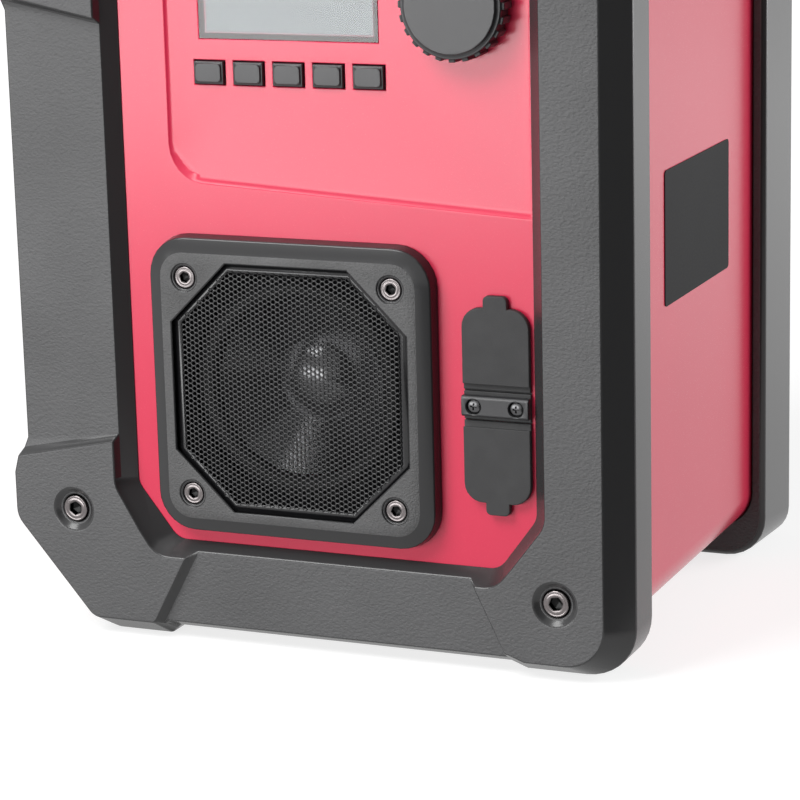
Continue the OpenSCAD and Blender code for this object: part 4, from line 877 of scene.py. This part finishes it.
def panScrew(size, length):
    # low domed head with a cross recess
    half, shank, height = size["head"] / 2, size["shank"] / 2, size["height"]
    dome = [(half * math.sin(t), height * size["dome"] * (1 - math.cos(t)) + size["top"])
            for t in size["domeSteps"]]
    bm = bmesh.new()
    lathedRings(bm, dome + [(half, height), (shank, height + size["seat"]),
                            (shank, length - size["point"]), (shank - size["point"], length)], size["steps"])
    bmesh.ops.recalc_face_normals(bm, faces=bm.faces)
    screw = addObject("panScrew", meshFrom(bm, "panScrew"))
    cutter = crossBlades(size)
    cut = screw.modifiers.new("crossRecess", "BOOLEAN")
    cut.operation, cut.solver, cut.object, cut.use_self = "DIFFERENCE", "EXACT", cutter, True
    bakeModifiers(screw)
    for polygon in screw.data.polygons:
        polygon.use_smooth = True
    screw.data.set_sharp_from_angle(angle=math.radians(size["shadeAngle"]))
    bpy.data.objects.remove(cutter)
    return screw


def screwTree():
    tree, given, result = newTree("screwSet", [
        ("Screw", "Object"), ("Half Turn", "Float"), ("Seed", "Int"), ("Finish", "Material")])
    screw = addNode(tree, "GeometryNodeObjectInfo", {"Object": given["Screw"]}).outputs["Geometry"]
    random = addNode(tree, "FunctionNodeRandomValue", {2: 0.0, 3: 2 * math.pi, "Seed": given["Seed"]},
                     data_type="FLOAT")
    turn = addNode(tree, "ShaderNodeCombineXYZ", {1: random.outputs[1]}).outputs[0]
    around = addNode(tree, "FunctionNodeEulerToRotation", {0: turn}).outputs[0]
    face = addNode(tree, "FunctionNodeEulerToRotation", {
        0: addNode(tree, "ShaderNodeCombineXYZ", {2: given["Half Turn"]}).outputs[0]}).outputs[0]
    both = addNode(tree, "FunctionNodeRotateRotation", {0: around, 1: face}).outputs[0]
    placed = addNode(tree, "GeometryNodeInstanceOnPoints", {
        "Points": given["Geometry"], "Instance": screw, "Rotation": both}).outputs[0]
    real = addNode(tree, "GeometryNodeRealizeInstances", {"Geometry": placed}).outputs[0]
    painted = addNode(tree, "GeometryNodeSetMaterial", {
        "Geometry": real, "Material": given["Finish"]}).outputs[0]
    tree.links.new(painted, result[0])
    return tree


screwSetTree = screwTree()


def setScrews(nodeName, pieceName, screw, places, way, seed, finish):
    bm = bmesh.new()
    for place in places:
        bm.verts.new(place)
    obj = addObject(pieceName, meshFrom(bm, pieceName))
    applyTree(obj, screwSetTree, {
        "Screw": screw, "Half Turn": 0.0 if way < 0 else math.pi, "Seed": seed, "Finish": finish})
    bpy.data.objects.remove(screw)
    settlePiece(obj, finish, nodeName)


for seed, (nodeName, size) in enumerate(socketScrews.items()):
    found = screwPlaces(nodeName)
    screw = socketScrew(size, (found[0][2] - found[0][1]) / mm)
    faces = [(x, low if size["way"] < 0 else high, z) for x, low, high, z in found]
    setScrews(nodeName, size["piece"], screw, faces, size["way"], screwSeeds["socket"] + seed,
              finishes["screw_steel"])
found = screwPlaces("clamp_screws")
setScrews("clamp_screws", panScrews["piece"], panScrew(panScrews, (found[0][2] - found[0][1]) / mm),
          [(x, low, z) for x, low, high, z in found], -1, screwSeeds["pan"], finishes["black_screw"])
print("screws set")


# loudspeaker: turned pieces seen through the grille

driver = {  # radii and places along Y in mm
    "steps": 96,
    "shadeAngle": 40,
    "rimRadius": 28.2, "coneFront": -80.1, "coneDepth": 15.0, "neckRadius": 10.0, "coneThick": 0.8,
    "coneSteps": 12,
    "capRadius": 13.0, "capRise": 5.0, "capThick": 0.7, "capSteps": 14,
    "capInside": 0.96,  # the inner dome ends this share of the way out
    "rollInner": 28.5, "rollOuter": 34.6, "rollEdge": 35.8, "rollThick": 0.8, "rollSteps": 20,
    "flange": -79.5,
    "sleeveInner": 35.86, "sleeveOuter": 35.97,  # the felt's sleeve: a dark lining over the bore's red edge, painted shade
    "sleeveFront": -84.0, "sleeveBack": -80.4,
}


def turnProfile(bm, profile):
    # profile: a closed walk of (radius, y) in mm round the driver's axis
    low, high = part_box("driver_cone")
    centreX, centreZ = (low.x + high.x) / 2, (low.z + high.z) / 2
    count = driver["steps"]
    rings = []
    for radius, y in profile:
        if radius < 0.001:  # on the axis the ring is one point
            rings.append([bm.verts.new((centreX, y * mm, centreZ))])
            continue
        turns = [2 * math.pi * i / count for i in range(count)]
        rings.append([bm.verts.new((centreX + radius * mm * math.cos(turn), y * mm,
                                    centreZ + radius * mm * math.sin(turn))) for turn in turns])
    for a, b in zip(rings, rings[1:] + rings[:1]):
        for i in range(count):
            corners = []
            for vert in (a[i % len(a)], a[(i + 1) % len(a)], b[(i + 1) % len(b)], b[i % len(b)]):
                if vert not in corners:
                    corners.append(vert)
            if len(corners) > 2:
                bm.faces.new(corners)


def turnedPiece(pieceName, nodeName, profile, finish, bm=None):
    bm = bm or bmesh.new()
    turnProfile(bm, profile)
    bmesh.ops.recalc_face_normals(bm, faces=bm.faces)
    obj = addObject(pieceName, shadedMesh(bm, pieceName, driver["shadeAngle"]))
    settlePiece(obj, finish, nodeName)


def coneLine(radius):
    share = (driver["rimRadius"] - radius) / (driver["rimRadius"] - driver["neckRadius"])
    return driver["coneFront"] + driver["coneDepth"] * share


def makeCone():
    steps = driver["coneSteps"]
    radii = [driver["rimRadius"] + (driver["neckRadius"] - driver["rimRadius"]) * i / steps
             for i in range(steps + 1)]
    front = [(r, coneLine(r)) for r in radii]
    back = [(r, coneLine(r) + driver["coneThick"]) for r in reversed(radii)]
    turnedPiece("speakerCone", "driver_cone", front + back, finishes["cone_paper"])


def makeDustCap():
    # part of a thin sphere that sits on the cone
    rise, reach, steps = driver["capRise"], driver["capRadius"], driver["capSteps"]
    sphere = (reach * reach + rise * rise) / (2 * rise)
    hollow = sphere - driver["capThick"]
    edge = math.asin(reach / sphere)
    middle = coneLine(reach) + sphere * math.cos(edge)
    angles = [edge * i / steps for i in range(steps + 1)]
    outer = [(sphere * math.sin(a), middle - sphere * math.cos(a)) for a in angles]
    inner = [(hollow * math.sin(a * driver["capInside"]), middle - hollow * math.cos(a * driver["capInside"]))
             for a in reversed(angles)]
    turnedPiece("speakerDustCap", "dust_cap", outer + inner, finishes["cap_plastic"])


def makeSurround():
    # a half roll between the cone and a flat border
    inner, outer, thick, steps = (driver[key] for key in ("rollInner", "rollOuter", "rollThick", "rollSteps"))
    mid, half = (inner + outer) / 2, (outer - inner) / 2
    level = driver["flange"] - thick
    angles = [math.pi * i / steps for i in range(steps + 1)]
    over = [(mid - half * math.cos(a), level - half * math.sin(a)) for a in angles]
    under = [(mid - (half - thick) * math.cos(a), level - (half - thick) * math.sin(a))
             for a in reversed(angles)]
    border = [(driver["rollEdge"], level), (driver["rollEdge"], driver["flange"]),
              (outer - thick, driver["flange"])]
    turnedPiece("speakerSurround", "driver_surround", over + border + under, finishes["seal_rubber"])


def makeFelt():
    # the solid's own ring, and a dark sleeve over the panel's bore that stands in as painted shade there
    inner, outer, front, back = (driver["sleeve" + end] for end in ("Inner", "Outer", "Front", "Back"))
    sleeve = [(inner, front), (outer, front), (outer, back), (inner, back)]
    turnedPiece("grilleFelt", "grille_felt", sleeve, finishes["grille_cloth"], mergedSolid("grille_felt"))


makeCone()
makeDustCap()
makeSurround()
makeFelt()
print("loudspeaker made")


# what stays as its solid, in its own finish

shown = [name for name, node in cadNodes.items() if not node.hide_render]
for name in shown:
    cadNodes[name].data.materials.clear()
    cadNodes[name].data.materials.append(finishes[slotOf[name]])
print("solids finished:", len(shown))
